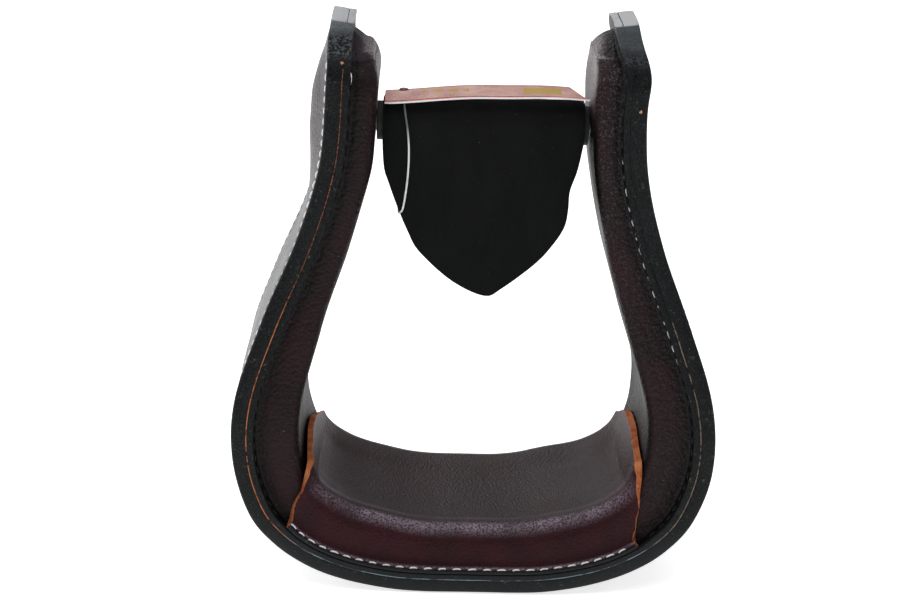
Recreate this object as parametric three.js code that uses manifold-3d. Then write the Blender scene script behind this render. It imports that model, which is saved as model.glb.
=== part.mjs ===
// Leather-covered western stirrup: a bentwood bow with a let-in tread block, wrapped in an outer
// strap, an inner cover and a tread cover, with a bolt and roller across the neck that carries a
// folded leather flap. Millimetres, +Z up, X across the stirrup, -Y towards the front.
// The origin is on the floor under the middle of the tread.
import * as THREE from "three";
import { mergeVertices } from "three/addons/utils/BufferGeometryUtils.js";
import Module from "manifold-3d";

const wasm = await Module();
wasm.setup();

// Outline of the outer strap, seen from the front; rises are measured from the bar's axis
const BAR_HEIGHT = 178.5;
const TAB_RISE = 41.5;
const BELLY_HALF_WIDTH = 90.5;
const BELLY_HEIGHT = 55;
const NECK_GAP = 77;
const NECK_RISE = 24.5;
const FOOT_FLAT_HALF = 15;
const TAB_LEAN = 1.8;
const TAB_LEAN_RISE = 31.5;

// Depths, seen from the side
const TREAD_DEPTH = 76;
const NECK_DEPTH = 56;
const TAB_DEPTH = 19;
const TAB_ARCH_RISE = 21;
const DEPTH_FALL_START = 60;
const DEPTH_FALL_BELOW_BAR = 28.5;

// Covered thickness, from the strap's outline to the inner cover's face
const TREAD_THICKNESS = 23.2;
const BELLY_THICKNESS = 25;
const NECK_THICKNESS = 18;
const TREAD_SWELL_START = 8;
const TREAD_SWELL_END = 45;
const ARM_SLIM_START = 75;
const ARM_SLIM_RISE = 6.5;

// Leather thicknesses and the sewn flange
const OUTER_LEATHER = 5.6;
const INNER_LEATHER = 2.6;
const TREAD_LEATHER = 2.2;
const FLAP_LEATHER = 1.8;
const FLANGE = 5.2;
const EDGE_BEVEL = 0.9;

// Moulding of the leather over the wood
const BULGE_CORNER = 5;
const BULGE_RISE = 36.5;
const DOME_SIDE = 19;
const DOME_FRONT = 14;
const HEAD_CROWN = 6.8;
const NUT_CROWN = 4.6;
const CROWN_START_BELOW_BAR = 35.5;
const CROWN_FULL_RISE = 1.5;
const CROWN_FADE_RISE = 9.5;
const CROWN_END_RISE = 39.5;
const CROWN_FLAT_SHARE = 0.25;
const CROWN_EDGE_SHARE = 0.86;
const EDGE_ROOM_SHARE = 0.9;
const DOME_TURN_SHARE = 0.92;

// Tread cover, whose ends lift off the corners
const LEFT_FLANGE_RISE = 21;
const LEFT_LIP_RISE = 36;
const RIGHT_FLANGE_RISE = 15;
const RIGHT_LIP_RISE = 50;
const TREAD_LIP_LIFT = 2.8;
const TREAD_LIFT_SHARE = 0.78;

// Tread block let into the bow, and its wood screws
const BLOCK_HALF_LENGTH = 50;
const BLOCK_SEAT = 9;
const SCREW_X = 24;
const SCREW_Y = 15;
const SCREW_HEAD_RADIUS = 3.6;
const SCREW_SHANK_RADIUS = 1.9;
const SCREW_HEAD_HEIGHT = 2.4;
const SCREW_RIM = 0.4;
const SCREW_LENGTH = 12;
const SCREW_TIP = 2.5;

// Bolt, nut and washers
const BOLT_RADIUS = 4;
const HEX_RADIUS = 7.4;
const HEX_CHAMFER = 0.9;
const HEAD_HEIGHT = 5.2;
const NUT_HEIGHT = 6.4;
const BOLT_STICKOUT = 1.2;
const WASHER_RADIUS = 9.5;
const WASHER_THICKNESS = 1.5;

// Roller and its flanged bushes
const ROLLER_RADIUS = 7.2;
const ROLLER_WALL = 1.5;
const BUSH_FLANGE = 2.4;
const BUSH_SPIGOT = 9;
const BUSH_ROUND = 0.6;
const END_PLAY = 0.5;

// Folded flap
const FLAP_END_ROOM = 1.5;
const FLAP_DROP = 65.8;
const FLAP_DRAW_IN = 1.4;
const FLAP_FIT = 0.4;

// Swing tag and its plastic loop
const CARD_END_ROOM = 1;
const CARD_DEPTH = 18;
const CARD_THICKNESS = 0.9;
const CARD_BOW = 0.9;
const CARD_SLANT = 6;
const CARD_SHIFT_X = 0.5;
const CARD_SHIFT_Y = -1;
const CARD_HOLE_RADIUS = 1.7;
const CARD_HOLE_INSET = 7.6;
const CARD_HOLE_REAR_EDGE = 4;
const LOOP_RADIUS = 0.45;
const LOCK_RADIUS = 2.3;
const LOCK_HEIGHT = 1.5;
const LOCK_ROUND = 0.5;

// Clearances
const LAYER_GAP = 0.3;
const RUNNING_GAP = 0.3;
const OVERRUN = 2;

// Resolution
const SEARCH_STEPS = 40;
const LENGTH_DIVISIONS = 800;
const HALF_STATIONS = 24;
const TREAD_STATIONS = 32;
const BLOCK_STATIONS = 16;
const ARCH_STEPS = 6;
const DOME_STEPS = 6;
const CORNER_STEPS = 3;
const HIDDEN_CORNER_STEPS = 2;
const ROUND_SIDES = 28;
const SMALL_SIDES = 16;
const FOLD_STEPS = 14;
const LEAF_STEPS = 5;
const CARD_STEPS = 12;
const LOOP_SIDES = 8;
const LOOP_STEPS = 52;

// Half outline: shares of the belly's width and height, then of the way from the belly to the neck
const LOWER_SHARES = [[0.34, 0.018], [0.53, 0.083], [0.69, 0.192], [0.83, 0.36], [0.935, 0.6], [1, 1]];
const UPPER_SHARES = [[0.035, 0.17], [0.315, 0.37], [0.68, 0.575], [0.93, 0.775], [1, 1]];

// Where the crown of the outer strap is sampled across its depth
const CROWN_SHARES = [-0.86, -0.58, -0.28, 0, 0.28, 0.58, 0.86];

// Hand-cut outline of the flap: shares of its half width and of its drop below the bar
const FLAP_SHARES = [
  [-1, 0.1], [-0.98, 0.24], [-0.92, 0.32], [-0.83, 0.46], [-0.71, 0.62], [-0.59, 0.74], [-0.26, 0.91], [0.08, 1],
  [0.26, 0.95], [0.57, 0.8], [0.73, 0.69], [0.85, 0.57], [0.88, 0.46], [0.885, 0.35], [0.95, 0.22], [1, 0.04],
];

// Route of the plastic loop about the bar's axis: from the tag's hole down the front leaf,
// round both leaves' left edges and up the rear leaf to the hole again
const LOOP_POINTS = [
  [-29.4, 3.4, 12.1], [-29.4, 3.1, 11], [-29.4, 1.4, 10.25], [-29.4, 0, 10.2], [-29.3, -2, 10.02],
  [-29.2, -4.6, 9.15], [-29, -7.3, 7.2], [-28.5, -9.3, 4.3], [-27.9, -10.2, 1], [-27.3, -10.4, -4],
  [-27, -10.5, -10], [-27.2, -10.5, -18], [-28, -10.4, -27], [-28.8, -10, -32], [-29.9, -8.8, -34.6],
  [-30.6, -6, -35.6], [-30.9, 0, -35.7], [-30.9, 5.6, -35.2], [-30.6, 8.2, -34.2], [-30, 9.8, -31.9],
  [-29.4, 10.4, -24], [-29.1, 10.5, -12], [-29.2, 10.5, -4], [-29.3, 10.3, 1.5], [-29.4, 9.4, 4.8],
  [-29.4, 7.9, 7.2], [-29.4, 6.3, 9], [-29.4, 5, 10.7], [-29.4, 4.7, 12.1],
];

const NECK_HALF_WIDTH = NECK_GAP / 2 + NECK_THICKNESS;
const NECK_HEIGHT = BAR_HEIGHT + NECK_RISE;
const TAB_LEAN_START = BAR_HEIGHT + TAB_LEAN_RISE;
const TAB_TOP = BAR_HEIGHT + TAB_RISE;
const DEPTH_FALL_END = BAR_HEIGHT - DEPTH_FALL_BELOW_BAR;
const ARM_SLIM_END = BAR_HEIGHT + ARM_SLIM_RISE;
const BULGE_TOP = BAR_HEIGHT + BULGE_RISE;
const CROWN_START = BAR_HEIGHT - CROWN_START_BELOW_BAR;
const CROWN_END = BAR_HEIGHT + CROWN_FULL_RISE;
const CROWN_FADE_START = BAR_HEIGHT + CROWN_FADE_RISE;
const CROWN_FADE_END = BAR_HEIGHT + CROWN_END_RISE;
const COVER_BASE = OUTER_LEATHER + LAYER_GAP;
const COVER_PLY = COVER_BASE + INNER_LEATHER;
const WOOD_INSET = INNER_LEATHER + LAYER_GAP;
const ROLLER_BORE = ROLLER_RADIUS - ROLLER_WALL;
const FLAP_HALF_WIDTH = NECK_GAP / 2 - FLAP_END_ROOM;
const FLAP_INNER_RADIUS = ROLLER_RADIUS + FLAP_FIT;
const FLAP_OUTER_RADIUS = FLAP_INNER_RADIUS + FLAP_LEATHER;
const CARD_UNDERSIDE = FLAP_OUTER_RADIUS + 2 * LAYER_GAP + 2 * LOOP_RADIUS;
const CARD_LENGTH = NECK_GAP - 2 * CARD_END_ROOM;
const CARD_HOLE_X = CARD_SHIFT_X - CARD_LENGTH / 2 + CARD_HOLE_INSET;
const CARD_HOLE_Y = CARD_SHIFT_Y + CARD_DEPTH / 2 - CARD_HOLE_REAR_EDGE;

function clamp01(value) {
  return Math.min(1, Math.max(0, value));
}

function mix(a, b, t) {
  return a + (b - a) * t;
}

function smooth(value, from, to) {
  const t = clamp01((value - from) / (to - from));
  return t * t * (3 - 2 * t);
}

// A quarter ellipse: 1 until start, then falling to 0 over the rise
function quarterArch(value, start, rise) {
  const t = clamp01((value - start) / rise);
  return Math.sqrt(1 - t * t);
}

// Right half of the strap's outline, from under the tread to the top of the tab
function makeOutline() {
  const widthLost = BELLY_HALF_WIDTH - NECK_HALF_WIDTH;
  const lower = LOWER_SHARES.map(([x, z]) => new THREE.Vector2(x * BELLY_HALF_WIDTH, z * BELLY_HEIGHT));
  const upper = UPPER_SHARES.map(([x, z]) => new THREE.Vector2(
    BELLY_HALF_WIDTH - x * widthLost,
    mix(BELLY_HEIGHT, NECK_HEIGHT, z),
  ));
  const curve = new THREE.SplineCurve([
    new THREE.Vector2(0, 0),
    new THREE.Vector2(FOOT_FLAT_HALF, 0),
    ...lower,
    ...upper,
    new THREE.Vector2(NECK_HALF_WIDTH - TAB_LEAN / 4, TAB_LEAN_START),
    new THREE.Vector2(NECK_HALF_WIDTH - TAB_LEAN, TAB_TOP),
  ]);
  curve.arcLengthDivisions = LENGTH_DIVISIONS;
  return curve;
}

const outline = makeOutline();

// The share of the outline's length at which a rising measure of its point reaches a target
function shareWhere(measure, target, limit = 1) {
  let low = 0;
  let high = limit;
  for (let i = 0; i < SEARCH_STEPS; i++) {
    const middle = (low + high) / 2;
    if (measure(outline.getPointAt(middle)) < target) low = middle;
    else high = middle;
  }
  return high;
}

function shareAtHeight(height) {
  return shareWhere((point) => point.y, height);
}

const bellyShare = shareAtHeight(BELLY_HEIGHT);

function shareAcross(across) {
  return shareWhere((point) => point.x, across, bellyShare);
}

// A station on the whole outline: -1 is the left tab's top, 0 the foot, 1 the right tab's top
function station(run) {
  const side = run < 0 ? -1 : 1;
  const share = Math.min(1, Math.abs(run));
  const point = outline.getPointAt(share);
  const tangent = outline.getTangentAt(share);
  return {
    x: side * point.x,
    z: Math.max(0, point.y),
    inX: -side * tangent.y,
    inZ: tangent.x,
    across: point.x,
    height: point.y,
  };
}

function place(at, inward, y) {
  return new THREE.Vector3(at.x + at.inX * inward, y, at.z + at.inZ * inward);
}

function halfDepth(at) {
  const full = mix(TREAD_DEPTH, NECK_DEPTH, smooth(at.height, DEPTH_FALL_START, DEPTH_FALL_END)) / 2;
  return mix(TAB_DEPTH / 2, full, quarterArch(at.height, TAB_TOP - TAB_ARCH_RISE, TAB_ARCH_RISE));
}

function coveredThickness(at) {
  const low = mix(TREAD_THICKNESS, BELLY_THICKNESS, smooth(at.across, TREAD_SWELL_START, TREAD_SWELL_END));
  return mix(low, NECK_THICKNESS, smooth(at.height, ARM_SLIM_START, ARM_SLIM_END));
}

// How far the outer strap is pushed out at a place across its depth, by the bolt's head or its nut
function crownAt(at, y) {
  const crown = at.x < 0 ? HEAD_CROWN : NUT_CROWN;
  const rise = smooth(at.height, CROWN_START, CROWN_END);
  const fade = 1 - smooth(at.height, CROWN_FADE_START, CROWN_FADE_END);
  const across = 1 - smooth(Math.abs(y) / halfDepth(at), CROWN_FLAT_SHARE, CROWN_EDGE_SHARE);
  return crown * rise * fade * across;
}

// Stations over the whole bow, closer together where the ends round off
function bowStations(archStart, archRise, steps, endAngle) {
  const straight = shareAtHeight(archStart);
  const right = [];
  for (let i = 0; i <= HALF_STATIONS; i++) {
    right.push(straight * i / HALF_STATIONS);
  }
  for (let k = 1; k <= steps; k++) {
    right.push(shareAtHeight(archStart + archRise * Math.sin(endAngle * k / steps)));
  }
  const left = right.slice(1).reverse().map((run) => -run);
  return [...left, ...right].map(station);
}

function signedVolume(geometry) {
  const position = geometry.attributes.position;
  const index = geometry.index;
  const [a, b, c] = [new THREE.Vector3(), new THREE.Vector3(), new THREE.Vector3()];
  let total = 0;
  for (let i = 0; i < index.count; i += 3) {
    a.fromBufferAttribute(position, index.getX(i));
    b.fromBufferAttribute(position, index.getX(i + 1));
    c.fromBufferAttribute(position, index.getX(i + 2));
    total += a.dot(b.cross(c));
  }
  return total / 6;
}

// Skins a run of equal rings of points and closes its ends; sections are the rings laid flat
function loft(rings, sections) {
  const size = rings[0].length;
  const positions = rings.flat().flatMap((point) => point.toArray());
  const indices = [];
  for (let i = 0; i < rings.length - 1; i++) {
    for (let j = 0; j < size; j++) {
      const a = i * size + j;
      const b = i * size + (j + 1) % size;
      indices.push(a, b, b + size, a, b + size, a + size);
    }
  }
  const last = rings.length - 1;
  for (const ring of [0, last]) {
    const flat = sections[ring];
    for (const [a, b, c] of THREE.ShapeUtils.triangulateShape(flat, [])) {
      const withOutline = THREE.ShapeUtils.area([flat[a], flat[b], flat[c]]) * THREE.ShapeUtils.area(flat) > 0;
      const corners = withOutline === (ring === last) ? [a, b, c] : [a, c, b];
      indices.push(...corners.map((corner) => corner + ring * size));
    }
  }
  const geometry = new THREE.BufferGeometry();
  geometry.setAttribute("position", new THREE.Float32BufferAttribute(positions, 3));
  geometry.setIndex(indices);
  if (signedVolume(geometry) < 0) {
    geometry.setIndex(indices.slice().reverse());
  }
  return geometry;
}

// Sweeps a section, given in inward distance and depth, along stations of the bow
function sweep(stations, sectionAt) {
  const sections = stations.map(sectionAt);
  const rings = sections.map((section, i) => section.map((point) => place(stations[i], point.x, point.y)));
  return loft(rings, sections);
}

function toSolid(geometry) {
  const bare = geometry.clone();
  bare.deleteAttribute("normal");
  bare.deleteAttribute("uv");
  const merged = mergeVertices(bare);
  return new wasm.Manifold(new wasm.Mesh({
    numProp: 3,
    vertProperties: new Float32Array(merged.attributes.position.array),
    triVerts: new Uint32Array(merged.index.array),
  }));
}

function toGeometry(solid) {
  const mesh = solid.getMesh();
  const geometry = new THREE.BufferGeometry();
  geometry.setAttribute("position", new THREE.BufferAttribute(mesh.vertProperties, 3));
  geometry.setIndex(new THREE.BufferAttribute(mesh.triVerts, 1));
  return geometry;
}

const group = new THREE.Group();

function add(parent, name, geometry, color, roughness, metalness = 0) {
  const material = new THREE.MeshStandardMaterial({ color, roughness, metalness });
  geometry.computeVertexNormals();
  const mesh = new THREE.Mesh(geometry, material);
  mesh.name = name;
  parent.add(mesh);
  return mesh;
}

// Revolves a profile of [radius, place along the axis] points about X
function turned(profile, sides) {
  const lathe = new THREE.LatheGeometry(profile.map(([r, x]) => new THREE.Vector2(r, x)), sides);
  return lathe.rotateZ(-Math.PI / 2);
}

function rod(radius, from, to, sides) {
  const geometry = new THREE.CylinderGeometry(radius, radius, to - from, sides);
  return geometry.rotateZ(-Math.PI / 2).translate((from + to) / 2, 0, 0);
}

// Outer strap, one piece from tab to tab, crowned over the bolt's ends
function outerStrapSection(at) {
  const half = halfDepth(at);
  const bevel = Math.min(EDGE_BEVEL, half * (1 - CROWN_EDGE_SHARE) * EDGE_ROOM_SHARE);
  const rows = CROWN_SHARES.map((share) => share * half);
  const outside = rows.map((y) => new THREE.Vector2(-crownAt(at, y), y));
  const inside = rows.map((y) => new THREE.Vector2(OUTER_LEATHER - crownAt(at, y), y)).reverse();
  return [
    new THREE.Vector2(bevel, -half),
    new THREE.Vector2(0, bevel - half),
    ...outside,
    new THREE.Vector2(0, half - bevel),
    new THREE.Vector2(bevel, half),
    new THREE.Vector2(OUTER_LEATHER, half),
    ...inside,
    new THREE.Vector2(OUTER_LEATHER, -half),
  ];
}

function tabStations() {
  return bowStations(TAB_TOP - TAB_ARCH_RISE, TAB_ARCH_RISE, ARCH_STEPS, Math.PI / 2);
}

function makeOuterStrap() {
  return sweep(tabStations(), outerStrapSection);
}

// The moulded bulge over the wood: its face (inset 0), the leather's inside or the wood itself
function bulgeHalf(at, inset) {
  const top = BULGE_TOP - inset;
  const side = quarterArch(at.height, top - DOME_SIDE, DOME_SIDE);
  return (halfDepth(at) - FLANGE - inset) * side;
}

function bulgeFace(at, inset) {
  const top = BULGE_TOP - inset;
  const front = quarterArch(at.height, top - DOME_FRONT, DOME_FRONT);
  return COVER_BASE + (coveredThickness(at) - inset - COVER_BASE) * front;
}

// Rounded side of the bulge that faces the foot, from one side wall to the other
function roundedFace(half, face, floor, radius, steps) {
  const r = Math.min(radius, half * EDGE_ROOM_SHARE, (face - floor) * EDGE_ROOM_SHARE);
  const points = [];
  for (let k = 0; k <= steps; k++) {
    const angle = (Math.PI / 2) * k / steps;
    points.push(new THREE.Vector2(face - r * (1 - Math.sin(angle)), -half + r * (1 - Math.cos(angle))));
  }
  const mirrored = points.map((point) => new THREE.Vector2(point.x, -point.y)).reverse();
  return [...points, new THREE.Vector2(face, 0), ...mirrored];
}

function bulgeSection(at, inset, floor) {
  const steps = inset > 0 ? HIDDEN_CORNER_STEPS : CORNER_STEPS;
  const half = bulgeHalf(at, inset);
  const face = bulgeFace(at, inset);
  return [
    new THREE.Vector2(floor, -half),
    ...roundedFace(half, face, floor, BULGE_CORNER - inset, steps),
    new THREE.Vector2(floor, half),
  ];
}

function bulgeStations(inset) {
  return bowStations(BULGE_TOP - inset - DOME_SIDE, DOME_SIDE, DOME_STEPS, DOME_TURN_SHARE * Math.PI / 2);
}

function plySection(at) {
  const half = halfDepth(at);
  return [
    new THREE.Vector2(COVER_BASE, -half),
    new THREE.Vector2(COVER_PLY, -half),
    new THREE.Vector2(COVER_PLY, half),
    new THREE.Vector2(COVER_BASE, half),
  ];
}

// Inner cover: a ply from tab to tab, moulded up over the wood, holed for the bolt
function makeInnerCover() {
  const ply = toSolid(sweep(tabStations(), plySection));
  const bulge = toSolid(sweep(bulgeStations(0), (at) => bulgeSection(at, 0, COVER_BASE + INNER_LEATHER / 2)));
  const pocket = toSolid(sweep(
    bulgeStations(INNER_LEATHER),
    (at) => bulgeSection(at, INNER_LEATHER, COVER_BASE - OVERRUN),
  ));
  const reach = BELLY_HALF_WIDTH;
  const hole = toSolid(rod(BOLT_RADIUS + RUNNING_GAP, -reach, reach, SMALL_SIDES).translate(0, 0, BAR_HEIGHT));
  return toGeometry(ply.add(bulge).subtract(pocket).subtract(hole));
}

// The wood inside the cover, cut back to follow the inside of the strap and its crown
function woodBlank() {
  const floor = COVER_BASE - Math.max(HEAD_CROWN, NUT_CROWN) - OVERRUN;
  const blank = toSolid(sweep(bulgeStations(WOOD_INSET), (at) => bulgeSection(at, WOOD_INSET, floor)));
  const withinStrap = toSolid(sweep(tabStations(), (at) => {
    const half = halfDepth(at);
    const back = CROWN_SHARES.map((share) => share * half).reverse();
    return [
      new THREE.Vector2(COVER_BASE, half),
      ...back.map((y) => new THREE.Vector2(COVER_BASE - crownAt(at, y), y)),
      new THREE.Vector2(COVER_BASE, -half),
      new THREE.Vector2(BELLY_THICKNESS, -half),
      new THREE.Vector2(BELLY_THICKNESS, half),
    ];
  }));
  return blank.intersect(withinStrap);
}

// The space that the tread block is let into, or the part of it that the block fills
function blockSpace(seat, halfLength) {
  const end = shareAcross(halfLength);
  const stations = [];
  for (let i = 0; i <= BLOCK_STATIONS; i++) {
    stations.push(station(mix(-end, end, i / BLOCK_STATIONS)));
  }
  return toSolid(sweep(stations, () => [
    new THREE.Vector2(seat, -TREAD_DEPTH),
    new THREE.Vector2(BELLY_THICKNESS + OVERRUN, -TREAD_DEPTH),
    new THREE.Vector2(BELLY_THICKNESS + OVERRUN, TREAD_DEPTH),
    new THREE.Vector2(seat, TREAD_DEPTH),
  ]));
}

// Countersunk wood screw, head down, or the hole that clears it by a margin
function screwProfile(margin, headRun) {
  return new THREE.LatheGeometry([
    new THREE.Vector2(0, -headRun),
    new THREE.Vector2(SCREW_HEAD_RADIUS + margin, -headRun),
    new THREE.Vector2(SCREW_HEAD_RADIUS + margin, SCREW_RIM),
    new THREE.Vector2(SCREW_SHANK_RADIUS + margin, SCREW_HEAD_HEIGHT),
    new THREE.Vector2(SCREW_SHANK_RADIUS + margin, SCREW_LENGTH - SCREW_TIP),
    new THREE.Vector2(0, SCREW_LENGTH + margin),
  ], SMALL_SIDES).rotateX(Math.PI / 2);
}

function screwPlaces() {
  const at = station(shareAcross(SCREW_X));
  const places = [];
  for (const x of [-SCREW_X, SCREW_X]) {
    for (const y of [-SCREW_Y, SCREW_Y]) {
      places.push([x, y, at.z + COVER_BASE + 2 * LAYER_GAP]);
    }
  }
  return places;
}

// Ends of the bolt: both stay under the outer strap, inside counterbores in the wood
function boltPlaces() {
  const share = shareAtHeight(BAR_HEIGHT + WASHER_RADIUS);
  const [headEnd, nutEnd] = [station(-share), station(share)].map((above) =>
    above.across + crownAt(above, WASHER_RADIUS) - COVER_BASE - LAYER_GAP);
  const headSeat = headEnd - HEAD_HEIGHT;
  const nutSeat = nutEnd - BOLT_STICKOUT - NUT_HEIGHT;
  return {
    headEnd,
    nutEnd,
    headSeat,
    nutSeat,
    headFloor: headSeat - WASHER_THICKNESS - 2 * LAYER_GAP,
    nutFloor: nutSeat - WASHER_THICKNESS - 2 * LAYER_GAP,
  };
}

const bolt = boltPlaces();

function makeWood() {
  let wood = woodBlank();
  const counterbore = WASHER_RADIUS + RUNNING_GAP;
  const reach = BELLY_HALF_WIDTH;
  for (const cut of [
    rod(BOLT_RADIUS + RUNNING_GAP, -reach, reach, SMALL_SIDES),
    rod(counterbore, -reach, -bolt.headFloor, ROUND_SIDES),
    rod(counterbore, bolt.nutFloor, reach, ROUND_SIDES),
  ]) {
    wood = wood.subtract(toSolid(cut.translate(0, 0, BAR_HEIGHT)));
  }
  for (const [x, y, z] of screwPlaces()) {
    wood = wood.subtract(toSolid(screwProfile(RUNNING_GAP, OVERRUN).translate(x, y, z)));
  }
  const seat = COVER_BASE + BLOCK_SEAT;
  const bow = wood.subtract(blockSpace(seat, BLOCK_HALF_LENGTH));
  const block = wood.intersect(blockSpace(seat + LAYER_GAP, BLOCK_HALF_LENGTH - LAYER_GAP));
  return { bow: toGeometry(bow), block: toGeometry(block) };
}

// Hat section of the tread cover: two flanges on the cover's ply and a skin over the bulge
function treadCoverSection(at) {
  const floor = COVER_PLY + LAYER_GAP;
  const top = floor + TREAD_LEATHER;
  const half = halfDepth(at);
  const skin = (offset, foot) => {
    const wall = bulgeHalf(at, 0) + offset;
    const face = coveredThickness(at) + offset;
    return [
      new THREE.Vector2(foot, -wall),
      ...roundedFace(wall, face, foot, BULGE_CORNER + offset, CORNER_STEPS),
      new THREE.Vector2(foot, wall),
    ];
  };
  return [
    new THREE.Vector2(floor, -half),
    new THREE.Vector2(top, -half),
    ...skin(LAYER_GAP + TREAD_LEATHER, top),
    new THREE.Vector2(top, half),
    new THREE.Vector2(floor, half),
    ...skin(LAYER_GAP, floor).reverse(),
  ];
}

// Tread cover: its ends run further up the bow along the top than at the flanges, and lift off there
function makeTreadCover() {
  const leftEnds = [shareAtHeight(LEFT_FLANGE_RISE), shareAtHeight(LEFT_LIP_RISE)];
  const rightEnds = [shareAtHeight(RIGHT_FLANGE_RISE), shareAtHeight(RIGHT_LIP_RISE)];
  const top = COVER_PLY + LAYER_GAP + TREAD_LEATHER;
  const sections = [];
  const rings = [];
  for (let i = 0; i <= TREAD_STATIONS; i++) {
    const t = mix(-1, 1, i / TREAD_STATIONS);
    const [flangeEnd, lipEnd] = t < 0 ? leftEnds : rightEnds;
    const section = treadCoverSection(station(t * flangeEnd));
    const highest = Math.max(...section.map((point) => point.x));
    const lift = TREAD_LIP_LIFT * smooth(Math.abs(t), TREAD_LIFT_SHARE, 1);
    rings.push(section.map((low, j) => {
      const climb = clamp01((low.x - top) / (highest - top));
      const at = station(t * mix(flangeEnd, lipEnd, climb));
      const point = treadCoverSection(at)[j];
      return place(at, point.x + lift * climb, point.y);
    }));
    sections.push(section);
  }
  return loft(rings, sections);
}

// A hexagonal block with its outer corners turned off, from one place on X to another
function hexBlock(from, to) {
  const hex = new THREE.CylinderGeometry(HEX_RADIUS, HEX_RADIUS, to - from, 6).rotateZ(-Math.PI / 2);
  const turnedEnds = turned([
    [0, from],
    [HEX_RADIUS - HEX_CHAMFER, from],
    [HEX_RADIUS, from + HEX_CHAMFER / 2],
    [HEX_RADIUS, to - HEX_CHAMFER / 2],
    [HEX_RADIUS - HEX_CHAMFER, to],
    [0, to],
  ], ROUND_SIDES);
  return toSolid(hex.translate((from + to) / 2, 0, 0)).intersect(toSolid(turnedEnds));
}

function makeBolt() {
  const shank = toSolid(rod(BOLT_RADIUS, -bolt.headSeat - HEAD_HEIGHT / 2, bolt.nutEnd, SMALL_SIDES));
  return toGeometry(hexBlock(-bolt.headEnd, -bolt.headSeat).add(shank));
}

function makeNut() {
  const bore = rod(BOLT_RADIUS + RUNNING_GAP, 0, BELLY_HALF_WIDTH, SMALL_SIDES);
  return toGeometry(hexBlock(bolt.nutSeat, bolt.nutSeat + NUT_HEIGHT).subtract(toSolid(bore)));
}

function makeWasher(from) {
  const bore = BOLT_RADIUS + RUNNING_GAP;
  const to = from + WASHER_THICKNESS;
  return turned([[bore, from], [WASHER_RADIUS, from], [WASHER_RADIUS, to], [bore, to], [bore, from]], ROUND_SIDES);
}

// Half length of the bar, which fills the gap between the arms but for its end play
const barEnd = station(shareAtHeight(BAR_HEIGHT + ROLLER_RADIUS));
const barHalf = barEnd.across - coveredThickness(barEnd) - END_PLAY;

function makeRoller() {
  const end = barHalf - BUSH_FLANGE - LAYER_GAP;
  return turned([
    [ROLLER_BORE, -end], [ROLLER_RADIUS, -end], [ROLLER_RADIUS, end], [ROLLER_BORE, end], [ROLLER_BORE, -end],
  ], ROUND_SIDES);
}

// Flanged bush: the flange closes the roller's end and the spigot sits in its bore
function makeBush(side) {
  const bore = BOLT_RADIUS + RUNNING_GAP;
  const flangeInner = barHalf - BUSH_FLANGE;
  const profile = [
    [bore, barHalf], [bore, flangeInner - BUSH_SPIGOT], [ROLLER_BORE - LAYER_GAP, flangeInner - BUSH_SPIGOT],
    [ROLLER_BORE - LAYER_GAP, flangeInner], [ROLLER_RADIUS, flangeInner], [ROLLER_RADIUS, barHalf - BUSH_ROUND],
    [ROLLER_RADIUS - BUSH_ROUND, barHalf], [bore, barHalf],
  ];
  const geometry = turned(profile, ROUND_SIDES);
  return side > 0 ? geometry : geometry.rotateZ(Math.PI);
}

// Flap: a strip folded over the roller, both leaves cut to the shield outline
function makeFlap() {
  const middle = (FLAP_INNER_RADIUS + FLAP_OUTER_RADIUS) / 2;
  const path = [];
  for (let i = LEAF_STEPS; i > 0; i--) {
    const t = i / LEAF_STEPS;
    path.push([-middle + FLAP_DRAW_IN * t * t, -t * (FLAP_DROP + OVERRUN)]);
  }
  for (let k = 0; k <= FOLD_STEPS; k++) {
    const angle = Math.PI * (1 - k / FOLD_STEPS);
    path.push([middle * Math.cos(angle), middle * Math.sin(angle)]);
  }
  for (let i = 1; i <= LEAF_STEPS; i++) {
    const t = i / LEAF_STEPS;
    path.push([middle - FLAP_DRAW_IN * t * t, -t * (FLAP_DROP + OVERRUN)]);
  }
  const offset = (distance) => path.map(([y, z], i) => {
    const [y0, z0] = path[Math.max(0, i - 1)];
    const [y1, z1] = path[Math.min(path.length - 1, i + 1)];
    const length = Math.hypot(y1 - y0, z1 - z0);
    return new THREE.Vector2(y - (z1 - z0) / length * distance, z + (y1 - y0) / length * distance);
  });
  const strip = new THREE.Shape([...offset(FLAP_LEATHER / 2), ...offset(-FLAP_LEATHER / 2).reverse()]);
  const width = 2 * FLAP_HALF_WIDTH;
  const folded = new THREE.ExtrudeGeometry(strip, { depth: width, bevelEnabled: false });
  folded.rotateY(Math.PI / 2).rotateX(Math.PI / 2).translate(-FLAP_HALF_WIDTH, 0, 0);
  const roof = FLAP_OUTER_RADIUS + OVERRUN;
  const shield = new THREE.Shape([
    new THREE.Vector2(FLAP_HALF_WIDTH, roof),
    new THREE.Vector2(-FLAP_HALF_WIDTH, roof),
    ...FLAP_SHARES.map(([x, drop]) => new THREE.Vector2(x * FLAP_HALF_WIDTH, -drop * FLAP_DROP)),
  ]);
  const reach = FLAP_OUTER_RADIUS + OVERRUN;
  const cutter = new THREE.ExtrudeGeometry(shield, { depth: 2 * reach, bevelEnabled: false });
  cutter.rotateX(Math.PI / 2).translate(0, reach, 0);
  return toGeometry(toSolid(folded).intersect(toSolid(cutter)));
}

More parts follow.
